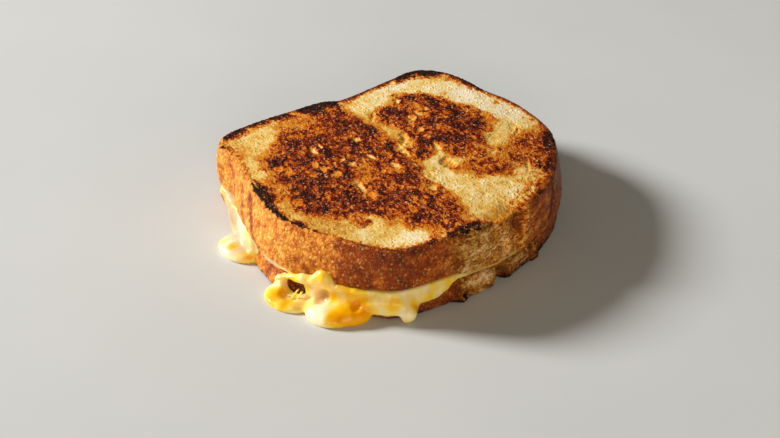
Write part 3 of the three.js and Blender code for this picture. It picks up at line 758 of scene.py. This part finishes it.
# How far the layer's edge stays inside the outline, as (angle, mm).
LAYER_INSET = [
    (0, 1.2), (14, 1.8), (30, 0.3), (44, 1.6), (62, 0.8), (74, -0.3), (90, 1.6), (112, 0.6), (128, 1.2),
    (160, 1.2), (168, -1.5), (173, -3), (177, -2.6), (182, -3.4), (187, -3.3), (193, -2.4), (201, 1.2),
    (254, 1.2), (263, 0.45), (276, 0.1), (300, 0), (335, 0.1), (350, 1.2), (360, 1.2),
]
# How far its rim reaches further up, and further down, as (angle, mm), and where the rim starts and how
# wide it is, as shares of the way out.
LAYER_RISE = [(0, 0), (162, 0), (171, 0.5), (188, 0.5), (196, 0), (360, 0)]
LAYER_SAG = [(0, 0), (264, 0), (276, 0.4), (300, 0.3), (335, 0), (360, 0)]
RIM_STARTS, RIM_BAND = 0.86, 0.12
# Cheese that has run down between two angles: the height of its top and of its lower edge, as (angle,
# mm), and how far it stands out at its top, middle and foot, as (angle, mm, mm, mm).
LEFT_RUN = {
    "from": 132, "to": 171.8, "top": [(132, 11.6), (171.8, 11.6)],
    "edge": [(132, 10.2), (137, 8.4), (142, 6), (146, 3), (149, 0.4), (150, 0), (171.8, 0)],
    "reach": [(132, 1.2, 0.8, 0.8), (138, 4.4, 5.2, 4.2), (142, 5.2, 6.2, 5), (147, 4.2, 5.4, 5),
              (153, 3, 3.8, 4.4), (162, 2, 3, 4.2), (168, 1.4, 1.8, 2.4), (171.8, -0.6, -0.6, -0.6)],
}
FRONT_RUN = {
    "from": 187, "to": 258, "top": [(187, 5), (190.5, 7), (197, 11.6), (258, 11.6)],
    "edge": [(187, 0), (222, 0), (224, 3.2), (233.5, 3), (235, 0.8), (238.8, 0.8), (240.5, 5.2),
             (247, 5.4), (251, 7), (254, 9.6), (258, 11)],
    "reach": [(187, 0.4, 0.4, 0.6), (191, 1.8, 2, 3.6), (205, 2.2, 3, 4.6), (215, 1.8, 4, 5.4),
              (223, 1, 3.4, 3.6), (230, 0.7, 2.6, 2.8), (237, 0.5, 3, 3.6), (241, 0.5, 1.9, 1.6),
              (250, 0.3, 1.2, 1), (258, 0.2, 0.4, 0.4)],
}
# Puddles, drips and the swelling over the crust, then the openings in the run: middle, half sizes,
# turn about Z.
POOLS = [
    ((-59.7, 19.6, 1.2), (7.6, 9.8, 3.4), 8), ((-62.6, -17.4, 0.7), (8.6, 10.4, 3.2), 12),
    ((-56.4, -34.4, 1.4), (8.6, 9.6, 4.6), 35), ((-51, -38.6, 2.2), (7.4, 8.6, 4.8), 50),
    ((-35.5, -53.4, 3.3), (3.2, 3.1, 3.5), 0), ((-55.6, -29.2, 12), (3.3, 4.4, 5.2), 28),
]
WINDOWS = [
    ((-62.4, -18.2, 5.7), (7.2, 5.6, 4), 16), ((-58.2, -30.6, 7.2), (2.8, 3.3, 3.2), 28),
    ((-51.2, -43, 7.2), (2.3, 1.8, 1.9), 42),
]
# Strands of cheese that lie on the crust, as paths of (x, y, z, radius).
STRANDS = [
    [(-64.2, -12.8, 8.2, 1.2), (-63.6, -14.9, 7.8, 1.8)],
    [(-62.4, -17, 9, 1.8), (-60.6, -23, 11.8, 1.7), (-58.8, -27, 12.4, 1.6)],
    [(-54, -35.4, 12, 1.2), (-50, -40.4, 11.4, 0.9), (-46.5, -44.4, 11.6, 0.6)],
]
# Threads of cheese across the hole, as above.
THREADS = [
    [(-63.4, -19.6, 2.2, 0.4), (-62.6, -20.4, 4.4, 0.22), (-61.8, -21.6, 6.6, 0.4)],
    [(-62.8, -21.8, 2.2, 0.42), (-62.4, -22.4, 4, 0.24), (-61.4, -23.4, 6.4, 0.46)],
    [(-63.6, -17, 2.2, 0.3), (-62.9, -19, 3.2, 0.18), (-62.6, -21, 3.6, 0.3)],
]
# The grid that the cheese's surface is found on, and the share of its faces that is kept.
CHEESE_LOW, CHEESE_HIGH, CHEESE_STEP = (-73.5, -59.5, -0.6), (72.5, 58.5, 18), 0.45
KEPT_FACES = 0.45
BLEND = 1.6  # how softly what has run out joins
EDGE_BLEND = 0.8  # how softly the layer's edge is rounded and joins the rest
WINDOW_BLEND, SLICE_BLEND = 1, 0.4  # the same for the openings, and where it meets the bread
OVERLAP = 0.5  # how far it soaks into the bread
LOWEST = 0.02  # height of its underside over the plate


def soft_min(a, b, blend):
    """The smaller of two fields, joined smoothly where they are nearly the same."""
    share = np.clip(0.5 + 0.5 * (b - a) / blend, 0, 1)
    return mix(b, a, share) - blend * share * (1 - share)


def soft_max(a, b, blend):
    return -soft_min(-a, -b, blend)


def ellipsoid(x, y, z, middle, half, turn):
    """About the distance outside an ellipsoid, in mm."""
    local = (*turned(x - middle[0], y - middle[1], turn), z - middle[2])
    near = np.sqrt(sum((part / size) ** 2 for part, size in zip(local, half)))
    steep = np.sqrt(sum((part / size**2) ** 2 for part, size in zip(local, half)))
    return near * (near - 1) / np.maximum(steep, 1e-6)


def run_field(run, degrees, out, z):
    """About the distance outside a curtain of cheese."""
    within = np.clip(degrees, run["from"], run["to"])
    foot, head = at_stops(run["edge"], within), at_stops(run["top"], within)
    top, middle, bottom = (at_stops(run["reach"], within, column) for column in (1, 2, 3))
    down = np.clip((head - z) / np.maximum(head - foot, 0.4), 0, 1)
    reach = np.where(down < 0.5, mix(top, middle, smooth(2 * down)),
                     mix(middle, bottom, smooth(2 * down - 1)))
    beyond = np.maximum(run["from"] - degrees, degrees - run["to"]) * math.radians(MEAN_RADIUS)
    side = np.maximum(beyond, out - reach)
    end = np.maximum(foot - z, z - head - 0.4)
    return soft_max(side, end, 0.9)


def slice_field(piece, x, y, z):
    """About the distance outside a slice."""
    angle, _, radius = polar(x, y)
    lower, upper = piece["lower"](x, y), piece["upper"](x, y)
    height = np.clip((z - lower) / (upper - lower), 0, 1)
    edge = outline_radius(angle) + crust_stand_out(piece, angle, height)
    return soft_max(radius - edge, np.maximum(lower - z, z - upper), 1.2)


def add_strand(melt, lines, path):
    """Join a strand to the field of the melt, near the strand alone."""
    for start, end in zip(path, path[1:]):
        a, b = np.array(start[:3]), np.array(end[:3])
        margin = max(start[3], end[3]) + 2 * BLEND
        spans = [slice(*np.searchsorted(line, (min(p, q) - margin, max(p, q) + margin)))
                 for line, p, q in zip(lines, a, b)]
        x, y, z = np.meshgrid(*[line[span] for line, span in zip(lines, spans)], indexing="ij")
        away = [axis - p for axis, p in zip((x, y, z), a)]
        along = sum(part * step for part, step in zip(away, b - a)) / ((b - a) @ (b - a))
        share = np.clip(along, 0, 1)
        gap = np.sqrt(sum((part - share * step) ** 2 for part, step in zip(away, b - a)))
        spans = tuple(spans)
        melt[spans] = soft_min(melt[spans], gap - mix(start[3], end[3], share), BLEND)


def thread_tubes(paths, sides=7, steps=9):
    """Vertices and faces of thin open tubes along curved paths."""
    vertices, faces = [], []
    for path in paths:
        stops = np.array(path)
        t = np.linspace(0, 1, steps)[:, None]
        centre = (1 - t) ** 2 * stops[0] + 2 * t * (1 - t) * stops[1] + t**2 * stops[2]
        base = len(vertices)
        for x, y, z, radius in centre:
            for k in range(sides):
                turn = 2 * math.pi * k / sides
                vertices.append((x + radius * math.cos(turn), y + radius * math.sin(turn), z))
        for row, k in itertools.product(range(steps - 1), range(sides)):
            here, after = base + row * sides, (k + 1) % sides
            faces.append([here + k, here + after, here + sides + after, here + sides + k])
    return np.array(vertices), faces


def surface_net(field, low, step):
    """Vertices and quads of the surface where a field over a grid crosses zero, negative inside."""
    inside = field < 0
    cells = tuple(size - 1 for size in field.shape)
    corners = list(itertools.product((0, 1), repeat=3))

    def at_corner(array, corner):
        return array[tuple(slice(c, c + size) for c, size in zip(corner, cells))]

    count = sum(at_corner(inside, corner).astype(np.int8) for corner in corners)
    crossed = np.argwhere((count > 0) & (count < 8))
    index = np.full(cells, -1)
    index[tuple(crossed.T)] = np.arange(len(crossed))
    total, hits = np.zeros((len(crossed), 3)), np.zeros((len(crossed), 1))
    for start, end in itertools.combinations(corners, 2):
        if sum(a != b for a, b in zip(start, end)) != 1:
            continue
        a, b = (field[tuple((crossed + corner).T)] for corner in (start, end))
        cut = (a < 0) != (b < 0)
        share = np.where(cut, a / np.where(cut, a - b, 1), 0)[:, None]
        total += cut[:, None] * (np.array(start) + share * (np.array(end) - start))
        hits += cut[:, None]
    vertices = np.array(low) + step * (crossed + total / hits)

    quads = []
    for axis in range(3):
        ahead, one, two = (np.eye(3, dtype=int)[(axis + k) % 3] for k in range(3))
        span = tuple(slice(0 if k == axis else 1, size - 1) for k, size in enumerate(field.shape))
        next_span = tuple(slice(part.start + step_on, part.stop + step_on)
                          for part, step_on in zip(span, ahead))
        leaving = inside[span] & ~inside[next_span]
        entering = ~inside[span] & inside[next_span]
        for changes, order in ((leaving, (0, 1, 2, 3)), (entering, (3, 2, 1, 0))):
            places = np.argwhere(changes) + [part.start for part in span]
            around = [places - one - two, places - two, places, places - one]
            quads.append(np.stack([index[tuple(around[k].T)] for k in order], axis=1))
    return vertices, np.concatenate(quads)


def layer_field(x, y, z):
    """About the distance outside the layer between the slices."""
    angle, degrees, radius = polar(x, y)
    edge = outline_radius(angle) - at_stops(LAYER_INSET, degrees) + wander(angle, 0, LAYER_PHASE)
    near_rim = smooth((radius / outline_radius(angle) - RIM_STARTS) / RIM_BAND)
    low = bottom_face_height(x, y) - near_rim * at_stops(LAYER_SAG, degrees)
    high = top_underside_height(x, y) + near_rim * at_stops(LAYER_RISE, degrees)
    return soft_max(radius - edge, np.maximum(low - z, z - high), EDGE_BLEND)


def melt_field(lines, x, y, z):
    """About the distance outside the cheese that has run out, with the slices cut away."""
    angle, degrees, radius = polar(x, y)
    out = radius - outline_radius(angle) - at_stops(BOTTOM_FLARE, degrees)
    melt = soft_min(run_field(LEFT_RUN, degrees, out, z), run_field(FRONT_RUN, degrees, out, z), BLEND)
    for pool in POOLS:
        melt = soft_min(melt, ellipsoid(x, y, z, *pool), BLEND)
    for path in STRANDS:
        add_strand(melt, lines, path)
    for window in WINDOWS:
        melt = soft_max(melt, -ellipsoid(x, y, z, *window), WINDOW_BLEND)
    for piece in (BOTTOM_SLICE, TOP_SLICE):
        melt = soft_max(melt, -(slice_field(piece, x, y, z) + OVERLAP), SLICE_BLEND)
    return melt


def cheese_object():
    """The cheese with its finish as vertex attributes."""
    lines = [np.arange(a, b, CHEESE_STEP) for a, b in zip(CHEESE_LOW, CHEESE_HIGH)]
    x, y, z = lines[0][:, None, None], lines[1][None, :, None], lines[2][None, None, :]
    field = soft_min(melt_field(lines, x, y, z), layer_field(x, y, z), EDGE_BLEND)
    vertices, quads = surface_net(np.maximum(field, LOWEST - z), CHEESE_LOW, CHEESE_STEP)
    clear = np.minimum(*[slice_field(piece, *vertices.T) for piece in (BOTTOM_SLICE, TOP_SLICE)])
    vertices = vertices + melt_ripple(vertices, quads) * smooth((clear - 0.2) / 1.6)[:, None]
    tubes, tube_faces = thread_tubes(THREADS)
    faces = quads.tolist() + [[k + len(vertices) for k in face] for face in tube_faces]
    vertices = np.concatenate([vertices, tubes])
    obj = make_object("melted_cheese", vertices, faces, cheese_colouring(vertices))
    obj.modifiers.new("fewer_hidden_faces", "DECIMATE").ratio = KEPT_FACES
    return obj


def melt_ripple(vertices, quads):
    """Small moves outwards that make the cheese's surface uneven where it has run out."""
    corners = vertices[quads]
    facing = np.cross(corners[:, 2] - corners[:, 0], corners[:, 3] - corners[:, 1])
    normals = np.zeros_like(vertices)
    for k in range(4):
        np.add.at(normals, quads[:, k], facing)
    normals /= np.maximum(np.linalg.norm(normals, axis=1), 1e-9)[:, None]
    x, y, z = vertices.T
    drape = noise(flat_points(np.degrees(np.arctan2(y, x)) / 2.6, z / 9), 91)
    lumps = fractal(vertices, 4.5, 2, 93)
    fall = smooth((z - 0.3) / 1.5)
    return normals * (fall * (0.25 * drape + 0.22 * lumps))[:, None]


# Where the cheese is more or less yellow and browned, and where painted shade dims it and makes it
# less white under the strongest key light: x, y, z, radius, change.
YELLOWER = [
    (-69.1, -15.1, 2.9, 4.5, 0.36), (-67.7, -21.4, 2.8, 3.5, 0.3), (-64.6, -25.3, 2.4, 3, 0.03),
    (-63.3, -19.8, 10.3, 3.2, 0.5), (-60, -23.9, 6.8, 2.4, 0.25), (-59.2, -25.9, 6.7, 2.6, -0.25),
    (-64.6, -15.1, 3.8, 3, 0.2), (-58, -31.2, 17.6, 3, 0.3), (-60.4, -28.9, 14.7, 3, 0.15),
    (-56.7, -31.9, 5.1, 2, -0.35), (-55.4, -34.9, 7.2, 2.2, 0.5), (-53, -37.8, 8.3, 3, -0.1),
    (-50.8, -40.9, 12.3, 4.2, 0.45), (-49.8, -41.5, 6.4, 2.2, 0.45), (-63.1, -35.8, 4.2, 5, -0.45),
    (-60.1, -40.3, 4.3, 3.2, 0.5), (-56.1, -43.3, 3.9, 5.2, 0.6), (-50.8, -45.9, 4, 4.2, 0.65),
    (-45.8, -45.1, 10.4, 4, -0.05), (-40.8, -51.7, 7.7, 2.8, 0.42), (-38, -50.3, 11.9, 3, -0.15),
    (-37.9, -54.2, 4.4, 2.5, -0.25), (-33.6, -55, 5.8, 2.2, 0.6), (-28.4, -54, 10, 3, -0.15),
    (-28, -54.8, 7.4, 2.4, 0.35), (-17, -54, 8.8, 3.5, 0.3), (-66.3, 20.1, 3.1, 4.6, -0.6),
    (-64.2, 19.4, 4.6, 2.3, 1), (-51.6, 41.5, 8.4, 3, 0.4), (-64, 13.8, 2.9, 2.6, 0.1),
    (-61.4, 11, 3, 2.6, 0.45), (-50.5, 42.4, 11.8, 4, -0.3), (-49.5, 44.1, 8, 3.2, 0.55),
    (-58, 24, 7, 6, -0.3), (-55, 32, 8, 5, -0.15), (-65, -8, 11.5, 4, -0.1),
]
BROWNER = [
    (-56.1, -29.7, 6.3, 2.6, 0.75), (-55.8, -34.9, 14, 2.6, 0.3), (-52, -39, 10.6, 2.4, 0.16),
    (-50.6, -42.4, 7, 1.8, 0.4), (-61.5, -20, 8.6, 2.4, 0.35), (-64.8, -6, 12.6, 3, 0.16),
    (-57.2, -31, 18.6, 2.2, 0.25), (-50, 42, 10, 4, 0.1), (-53, 34.5, 8, 5, 0.14),
    (-69.6, -16, 3, 5, 0.2), (-66.4, -22.4, 2.6, 4.4, 0.08), (-63.5, 2, 11, 5, 0.3),
    (-64, -6, 11, 4, 0.2), (-61.5, 8.5, 11, 4, 0.2),
]
DIMMED_BY_PAINTED_SHADE = [
    (-49, 44, 10, 4.5, 0.7), (-52, 37, 8, 5, 0.8), (-54.5, 30, 6, 5, 0.8), (-57, 23, 4.5, 4, 0.6),
    (-60, 16, 4, 5, 0.5), (-64.5, -6, 11, 6, 0.6), (-62.5, 9, 11, 5, 0.5), (-66, 21, 3, 5, 0.15),
    (-63.5, 2, 11, 6, 0.5),
]


def cheese_colouring(vertices):
    """How yellow and how browned the cheese is at its vertices, and how much painted shade dims it."""
    x, y, z = vertices.T
    _, degrees, _ = polar(x, y)
    streaks = fractal(flat_points(degrees / 3.2, z / 9), 1, 3, 81)
    at_near_seam = smooth((degrees - 256) / 8) * smooth((350 - degrees) / 8)
    return {
        "yellow": with_places(0.34 + 0.2 * streaks, vertices, YELLOWER),
        "tan": with_places(0.65 * at_near_seam, vertices, BROWNER),
        "painted_shade": with_places(0, vertices, DIMMED_BY_PAINTED_SHADE),
    }


# --- Materials ---

# Colours in the order of the value that picks them, as (place, sRGB).
CRUMB_COLOURS = [(0, "b87420"), (0.28, "dca23c"), (0.55, "f0ca6c"), (0.8, "f7e0a2"), (1, "fdf1d4")]
BROWNED_COLOURS = [
    (0.16, "e9a438"), (0.27, "de8016"), (0.4, "c65b08"), (0.52, "a03a05"), (0.65, "741e02"),
    (0.8, "4e1002"), (1, "2a0802"),
]
BAKED_COLOURS = [(0, "f4bc58"), (0.25, "e6962c"), (0.5, "bb5d0c"), (0.7, "8e3805"), (0.95, "561902")]
TORN_COLOURS = [
    (0.32, "4a2804"), (0.42, "8c5610"), (0.5, "b8802c"), (0.57, "d0a45c"), (0.68, "ecd4a8"),
]
GLOWING_COLOURS = [
    (0.32, "541803"), (0.42, "8e3a05"), (0.5, "c0620b"), (0.58, "e2932c"), (0.68, "f6c068"),
]
BURNT_COLOURS = [(0.3, "7a2604"), (0.5, "4a1404"), (0.72, "260b04"), (0.95, "100604")]
CHEESE_COLOURS = [
    (0.08, "fce9c6"), (0.32, "fadc8c"), (0.52, "fdd040"), (0.75, "ffbe04"), (0.95, "ffb000"),
]
FLOOR_COLOURS = [(0.3, "cbd0d2"), (0.7, "d0d5d7")]
# The first is the colour of painted glints of butter and of pale crumb fibres on the face.
GLINT_AND_FIBRE_COLOUR, BLISTER_COLOUR, GAP_COLOUR = "fbdfae", "f8c874", "7a2a03"
# The first browns the cheese; the second is painted shade that dims it where the key light falls
# hardest.
BROWNED_CHEESE_COLOUR, PAINTED_SHADE_CHEESE_COLOUR = "b87420", "a8947a"


def rgb(code):
    """Linear colour from an sRGB hex code."""
    parts = [int(code[k:k + 2], 16) / 255 for k in (0, 2, 4)]
    return [c / 12.92 if c <= 0.04045 else ((c + 0.055) / 1.055) ** 2.4 for c in parts] + [1]


class Shader:
    """A material's nodes. Places are in mm."""

    def __init__(self, name):
        self.material = bpy.data.materials.new(name)
        self.material.use_nodes = True
        self.tree = self.material.node_tree
        self.tree.nodes.clear()
        self.places = self.node("ShaderNodeTexCoord").outputs["Object"]

    def plug(self, socket, value):
        """Link a socket to another node's output, or set its value."""
        if isinstance(value, bpy.types.NodeSocket):
            self.tree.links.new(value, socket)
        else:
            socket.default_value = value

    def node(self, kind, inputs=None, **settings):
        made = self.tree.nodes.new(kind)
        for key, value in settings.items():
            setattr(made, key, value)
        for key, value in (inputs or {}).items():
            self.plug(made.inputs[key], value)
        return made

    def math(self, operation, a, b, clamp=False):
        node = self.node("ShaderNodeMath", {0: a, 1: b}, operation=operation, use_clamp=clamp)
        return node.outputs[0]

    def add(self, a, b, clamp=False):
        return self.math("ADD", a, b, clamp)

    def less(self, a, b, clamp=False):
        return self.math("SUBTRACT", a, b, clamp)

    def times(self, a, b):
        return self.math("MULTIPLY", a, b)

    def swing(self, value, middle, amount):
        """How far a value is above the middle, times an amount."""
        return self.times(self.less(value, middle), amount)

    def attribute(self, name):
        return self.node("ShaderNodeAttribute", attribute_name=name).outputs["Fac"]

    def stretched(self, turn, along, across=1, up=1):
        """Places turned about Z, and drawn out by these factors."""
        rotation, scale = (0, 0, -math.radians(turn)), (1 / along, 1 / across, 1 / up)
        level = self.node("ShaderNodeMapping", {0: self.places, "Rotation": rotation}).outputs[0]
        return self.node("ShaderNodeMapping", {0: level, "Scale": scale}).outputs[0]

    def noise(self, size, detail=2, rough=0.5, places=None, distortion=0):
        """Noise from 0 to 1 with features of about that size in mm."""
        return self.node("ShaderNodeTexNoise", {
            "Vector": places or self.places, "Scale": 0.5 / (size * MM), "Detail": detail,
            "Roughness": rough, "Distortion": distortion}).outputs["Fac"]

    def spots(self, size, places=None):
        """Distance from scattered points about that size apart, as a share of it, and their colour."""
        node = self.node("ShaderNodeTexVoronoi", {
            "Vector": places or self.places, "Scale": 1 / (size * MM)})
        return node.outputs["Distance"], node.outputs["Color"]

    def span(self, value, start, end, low=0, high=1):
        """Smooth step of value from start to end."""
        return self.node("ShaderNodeMapRange", {
            "Value": value, "From Min": start, "From Max": end, "To Min": low, "To Max": high,
        }, interpolation_type="SMOOTHSTEP").outputs["Result"]

    def blend(self, share, a, b):
        return self.node("ShaderNodeMix", {0: share, 6: a, 7: b}, data_type="RGBA").outputs[2]

    def ramp(self, value, stops):
        made = self.node("ShaderNodeValToRGB", {"Fac": value})
        band = made.color_ramp
        while len(band.elements) < len(stops):
            band.elements.new(0.5)
        for element, (place, colour) in zip(band.elements, stops):
            element.position = place
            element.color = rgb(colour)
        return made.outputs["Color"]

    def bump(self, height, distance, strength):
        return self.node("ShaderNodeBump", {
            "Height": height, "Distance": distance * MM, "Strength": strength}).outputs["Normal"]

    def finish(self, inputs):
        surface = self.node("ShaderNodeBsdfPrincipled", inputs)
        self.node("ShaderNodeOutputMaterial", {"Surface": surface.outputs[0]})
        return self.material


def face_colour(s, grains):
    """The griddled face: crumb where it is barely browned, then gold, orange, maroon and black. The
    walls between the crumb's cells stay paler."""
    toast, pale, pore = (s.attribute(k) for k in ("toast", "pale", "pore"))
    along_cells = s.stretched(GRAIN_TURN, GRAIN_STRETCH)
    cell, _ = s.spots(1.35, along_cells)
    wall = s.span(cell, 0.4, 0.75)
    uneven = s.swing(grains, 0.5, s.span(pore, 0, 0.7, 1, 0.5))
    level = s.add(toast, s.times(uneven, s.span(toast, 0.1, 0.5, 0.1, 0.5)))
    level = s.less(level, s.times(wall, s.span(toast, 0.15, 0.5, 0, 0.12)))
    orange_flecks = s.span(s.noise(0.9), 0.62, 0.74, 0, 0.15)
    level = s.add(level, orange_flecks, clamp=True)
    blotches = s.less(s.noise(2.2, 2, 0.6, along_cells), 0.5)
    level = s.less(level, s.span(blotches, -0.05, -0.22, 0, -0.12), clamp=True)
    tone = s.add(s.times(uneven, 0.3), s.swing(wall, 0.4, 0.16))
    tone = s.add(tone, s.times(blotches, 0.9))
    tone = s.add(pale, tone, clamp=True)
    crumb, browned = s.ramp(tone, CRUMB_COLOURS), s.ramp(level, BROWNED_COLOURS)
    colour = s.blend(s.span(level, 0.1, 0.26), crumb, browned)
    # Pale flecks: painted glints of butter, and pale crumb fibres.
    glints_and_fibres = s.span(s.noise(0.5, 1), 0.63, 0.71)
    return s.blend(s.times(glints_and_fibres, 0.5), colour, rgb(GLINT_AND_FIBRE_COLOUR))


def blisters(s, size, sharpness):
    """Blisters from 0 to 1, of random strength, that size apart in mm, and the distance to them."""
    distance, colour = s.spots(size)
    strength = s.node("ShaderNodeSeparateColor", {0: colour}).outputs[0]
    height = s.times(s.span(distance, 0.46, 0.12), s.math("POWER", strength, sharpness))
    return height, distance


def crust_colour(s):
    """The baked crust with its blisters, and its torn parts. Also the blisters' height."""
    shade, torn, ember = (s.attribute(k) for k in ("shade", "torn", "ember"))
    level = s.add(shade, s.swing(s.noise(1.9, 4, 0.66), 0.5, 1.15), clamp=True)
    large, distance = blisters(s, 1.5, 1.1)
    small, _ = blisters(s, 0.85, 2)
    blister = s.math("MAXIMUM", large, s.times(small, 0.8))
    gaps = s.span(distance, 0.42, 0.8, 0, 0.45)
    baked = s.blend(gaps, s.ramp(level, BAKED_COLOURS), rgb(GAP_COLOUR))
    dotted = s.times(blister, s.span(shade, 0.2, 0.8, 0.85, 0.42))
    baked = s.blend(dotted, baked, rgb(BLISTER_COLOUR))
    fibres = s.noise(0.9, 4, 0.7, s.stretched(30, 1.5, 1, 0.8), 0.9)
    tone = s.add(s.swing(fibres, 0.235, 1.13), s.times(s.noise(3.5), 0.4))
    tone = s.less(tone, s.swing(shade, 0.42, 0.3))
    # The listed tones: partly painted shade in the torn side's dents and painted light on its lumps.
    tone = s.add(tone, s.attribute("tone"))
    opened, glowing = s.ramp(tone, TORN_COLOURS), s.ramp(tone, GLOWING_COLOURS)
    opened = s.blend(s.span(ember, 0.1, 0.9), opened, glowing)
    return s.blend(s.times(torn, 0.9), baked, opened), blister


def bread_material():
    s = Shader("toasted_bread")
    toast = s.attribute("toast")
    coarse = s.noise(0.9, 3, 0.6, s.stretched(GRAIN_TURN, GRAIN_STRETCH), 0.4)
    fine = s.noise(0.45, 2, 0.6)
    grains = s.span(s.add(s.times(coarse, 0.6), s.times(fine, 0.4)), 0.37, 0.63)
    baked, blister = crust_colour(s)
    colour = s.blend(s.attribute("crust"), face_colour(s, grains), baked)
    soot = s.add(s.attribute("char"), s.swing(grains, 0.55, 0.7), clamp=True)
    colour = s.blend(s.span(soot, 0.25, 0.5), colour, s.ramp(soot, BURNT_COLOURS))

    rough = s.add(0.2, s.times(fine, 0.36))
    rough = s.add(rough, s.span(soot, 0.3, 0.6, 0, 0.4))
    rough = s.add(rough, s.span(toast, 0.05, 0.35, 0.3, 0))
    crisp = s.times(grains, s.span(toast, 0.1, 0.5, 0.12, 1))
    crisp = s.times(crisp, s.span(s.attribute("pore"), 0, 0.7, 1, 0.3))
    return s.finish({
        "Base Color": colour, "Roughness": rough, "IOR": 1.4, "Specular IOR Level": 0.32,
        "Normal": s.bump(s.add(crisp, s.times(blister, 0.8)), 0.3, 1),
        "Specular Tint": (1.0, 0.84, 0.6, 1.0),
        "Subsurface Weight": 0.12, "Subsurface Radius": (1.0, 0.45, 0.2), "Subsurface Scale": 0.0012,
    })


def cheese_material():
    s = Shader("melted_cheese")
    streaks = s.noise(3, 3, 0.55, s.stretched(0, 1, 1, 2.4), 1)
    level = s.add(s.attribute("yellow"), s.swing(streaks, 0.5, 0.5), clamp=True)
    colour = s.blend(s.attribute("tan"), s.ramp(level, CHEESE_COLOURS), rgb(BROWNED_CHEESE_COLOUR))
    # Painted shade: a dull tan that dims the cheese where the key light falls hardest.
    colour = s.blend(s.attribute("painted_shade"), colour, rgb(PAINTED_SHADE_CHEESE_COLOUR))
    return s.finish({
        "Base Color": colour, "Roughness": 0.27, "IOR": 1.45, "Specular IOR Level": 0.3,
        "Normal": s.bump(s.noise(2), 0.12, 0.7),
        "Subsurface Weight": 0.8, "Subsurface Radius": (1.0, 0.62, 0.22), "Subsurface Scale": 0.003,
    })


# --- The pieces ---

bread, cheese = bread_material(), cheese_material()
PIECES = [
    (lambda: slice_object(BOTTOM_SLICE), "bottom_slice", "toasted_bread", bread),
    (cheese_object, "cheese", "melted_cheese", cheese),
    (lambda: slice_object(TOP_SLICE), "top_slice", "toasted_bread", bread),
]
for make, node, slot, material in PIECES:
    made = make()
    made.data.materials.append(material)
    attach(made, "root")
    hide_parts(node)

# --- Floor, light and camera ---

FLOOR_DROP, FLOOR_SIZE = 0.00002, 6  # in metres, and so are the distances and sizes of the lights
# Lights: name, direction and height in degrees, distance, size, power, colour.
LIGHTS = [("key", 127, 26, 3, 0.75, 155, "fffaf4"), ("fill", 236, 14, 2.4, 1.2, 26, "ffecd2")]
WORLD_COLOUR, WORLD_STRENGTH = "f8ecd8", 0.13

# The photo's camera: its place in mm, its direction, its roll in degrees, and its focal length and the
# photo's width in pixels.
CAMERA_AT = (-377.03, -479.14, 391.98)
LOOKING = (0.5187, 0.6639, -0.5388)
ROLL = 1.2
FOCAL_PIXELS, PHOTO_WIDTH, SENSOR = 1842, 780, 36


def make_floor():
    bpy.ops.mesh.primitive_plane_add(size=FLOOR_SIZE, location=(0, 0, -FLOOR_DROP))
    floor = bpy.context.object
    floor.name = "floor"
    s = Shader("pale_floor")
    tone = s.ramp(s.noise(60, 3), FLOOR_COLOURS)
    floor.data.materials.append(s.finish({
        "Base Color": tone, "Roughness": 0.8, "Specular IOR Level": 0.2}))


def make_light(name, azimuth, elevation, distance, size, power, colour):
    azimuth, elevation = math.radians(azimuth), math.radians(elevation)
    data = bpy.data.lights.new(name, "AREA")
    data.shape, data.size, data.energy, data.color = "DISK", size, power, rgb(colour)[:3]
    light = bpy.data.objects.new(name, data)
    away = Vector((math.cos(azimuth) * math.cos(elevation), math.sin(azimuth) * math.cos(elevation),
                   math.sin(elevation)))
    light.location = away * distance
    light.rotation_euler = away.to_track_quat("Z", "Y").to_euler()
    bpy.context.scene.collection.objects.link(light)


def make_world():
    world = bpy.data.worlds.new("studio")
    world.use_nodes = True
    background = world.node_tree.nodes["Background"]
    background.inputs["Color"].default_value = rgb(WORLD_COLOUR)
    background.inputs["Strength"].default_value = WORLD_STRENGTH
    bpy.context.scene.world = world


def make_camera():
    data = bpy.data.cameras.new("camera")
    data.sensor_width = SENSOR
    data.lens = FOCAL_PIXELS / PHOTO_WIDTH * SENSOR
    data.clip_start, data.clip_end = 0.01, 20
    camera = bpy.data.objects.new("camera", data)
    forward = Vector(LOOKING).normalized()
    right = forward.cross(Vector((0, 0, 1))).normalized()
    up = right.cross(forward)
    roll = math.radians(ROLL)
    across = math.cos(roll) * right + math.sin(roll) * up
    above = math.cos(roll) * up - math.sin(roll) * right
    turn = Matrix((across, above, -forward)).transposed().to_4x4()
    camera.matrix_world = Matrix.Translation(Vector(CAMERA_AT) * MM) @ turn
    bpy.context.scene.collection.objects.link(camera)
    bpy.context.scene.camera = camera


make_floor()
make_world()
for light in LIGHTS:
    make_light(*light)
make_camera()
bpy.context.scene.view_settings.view_transform = "Standard"
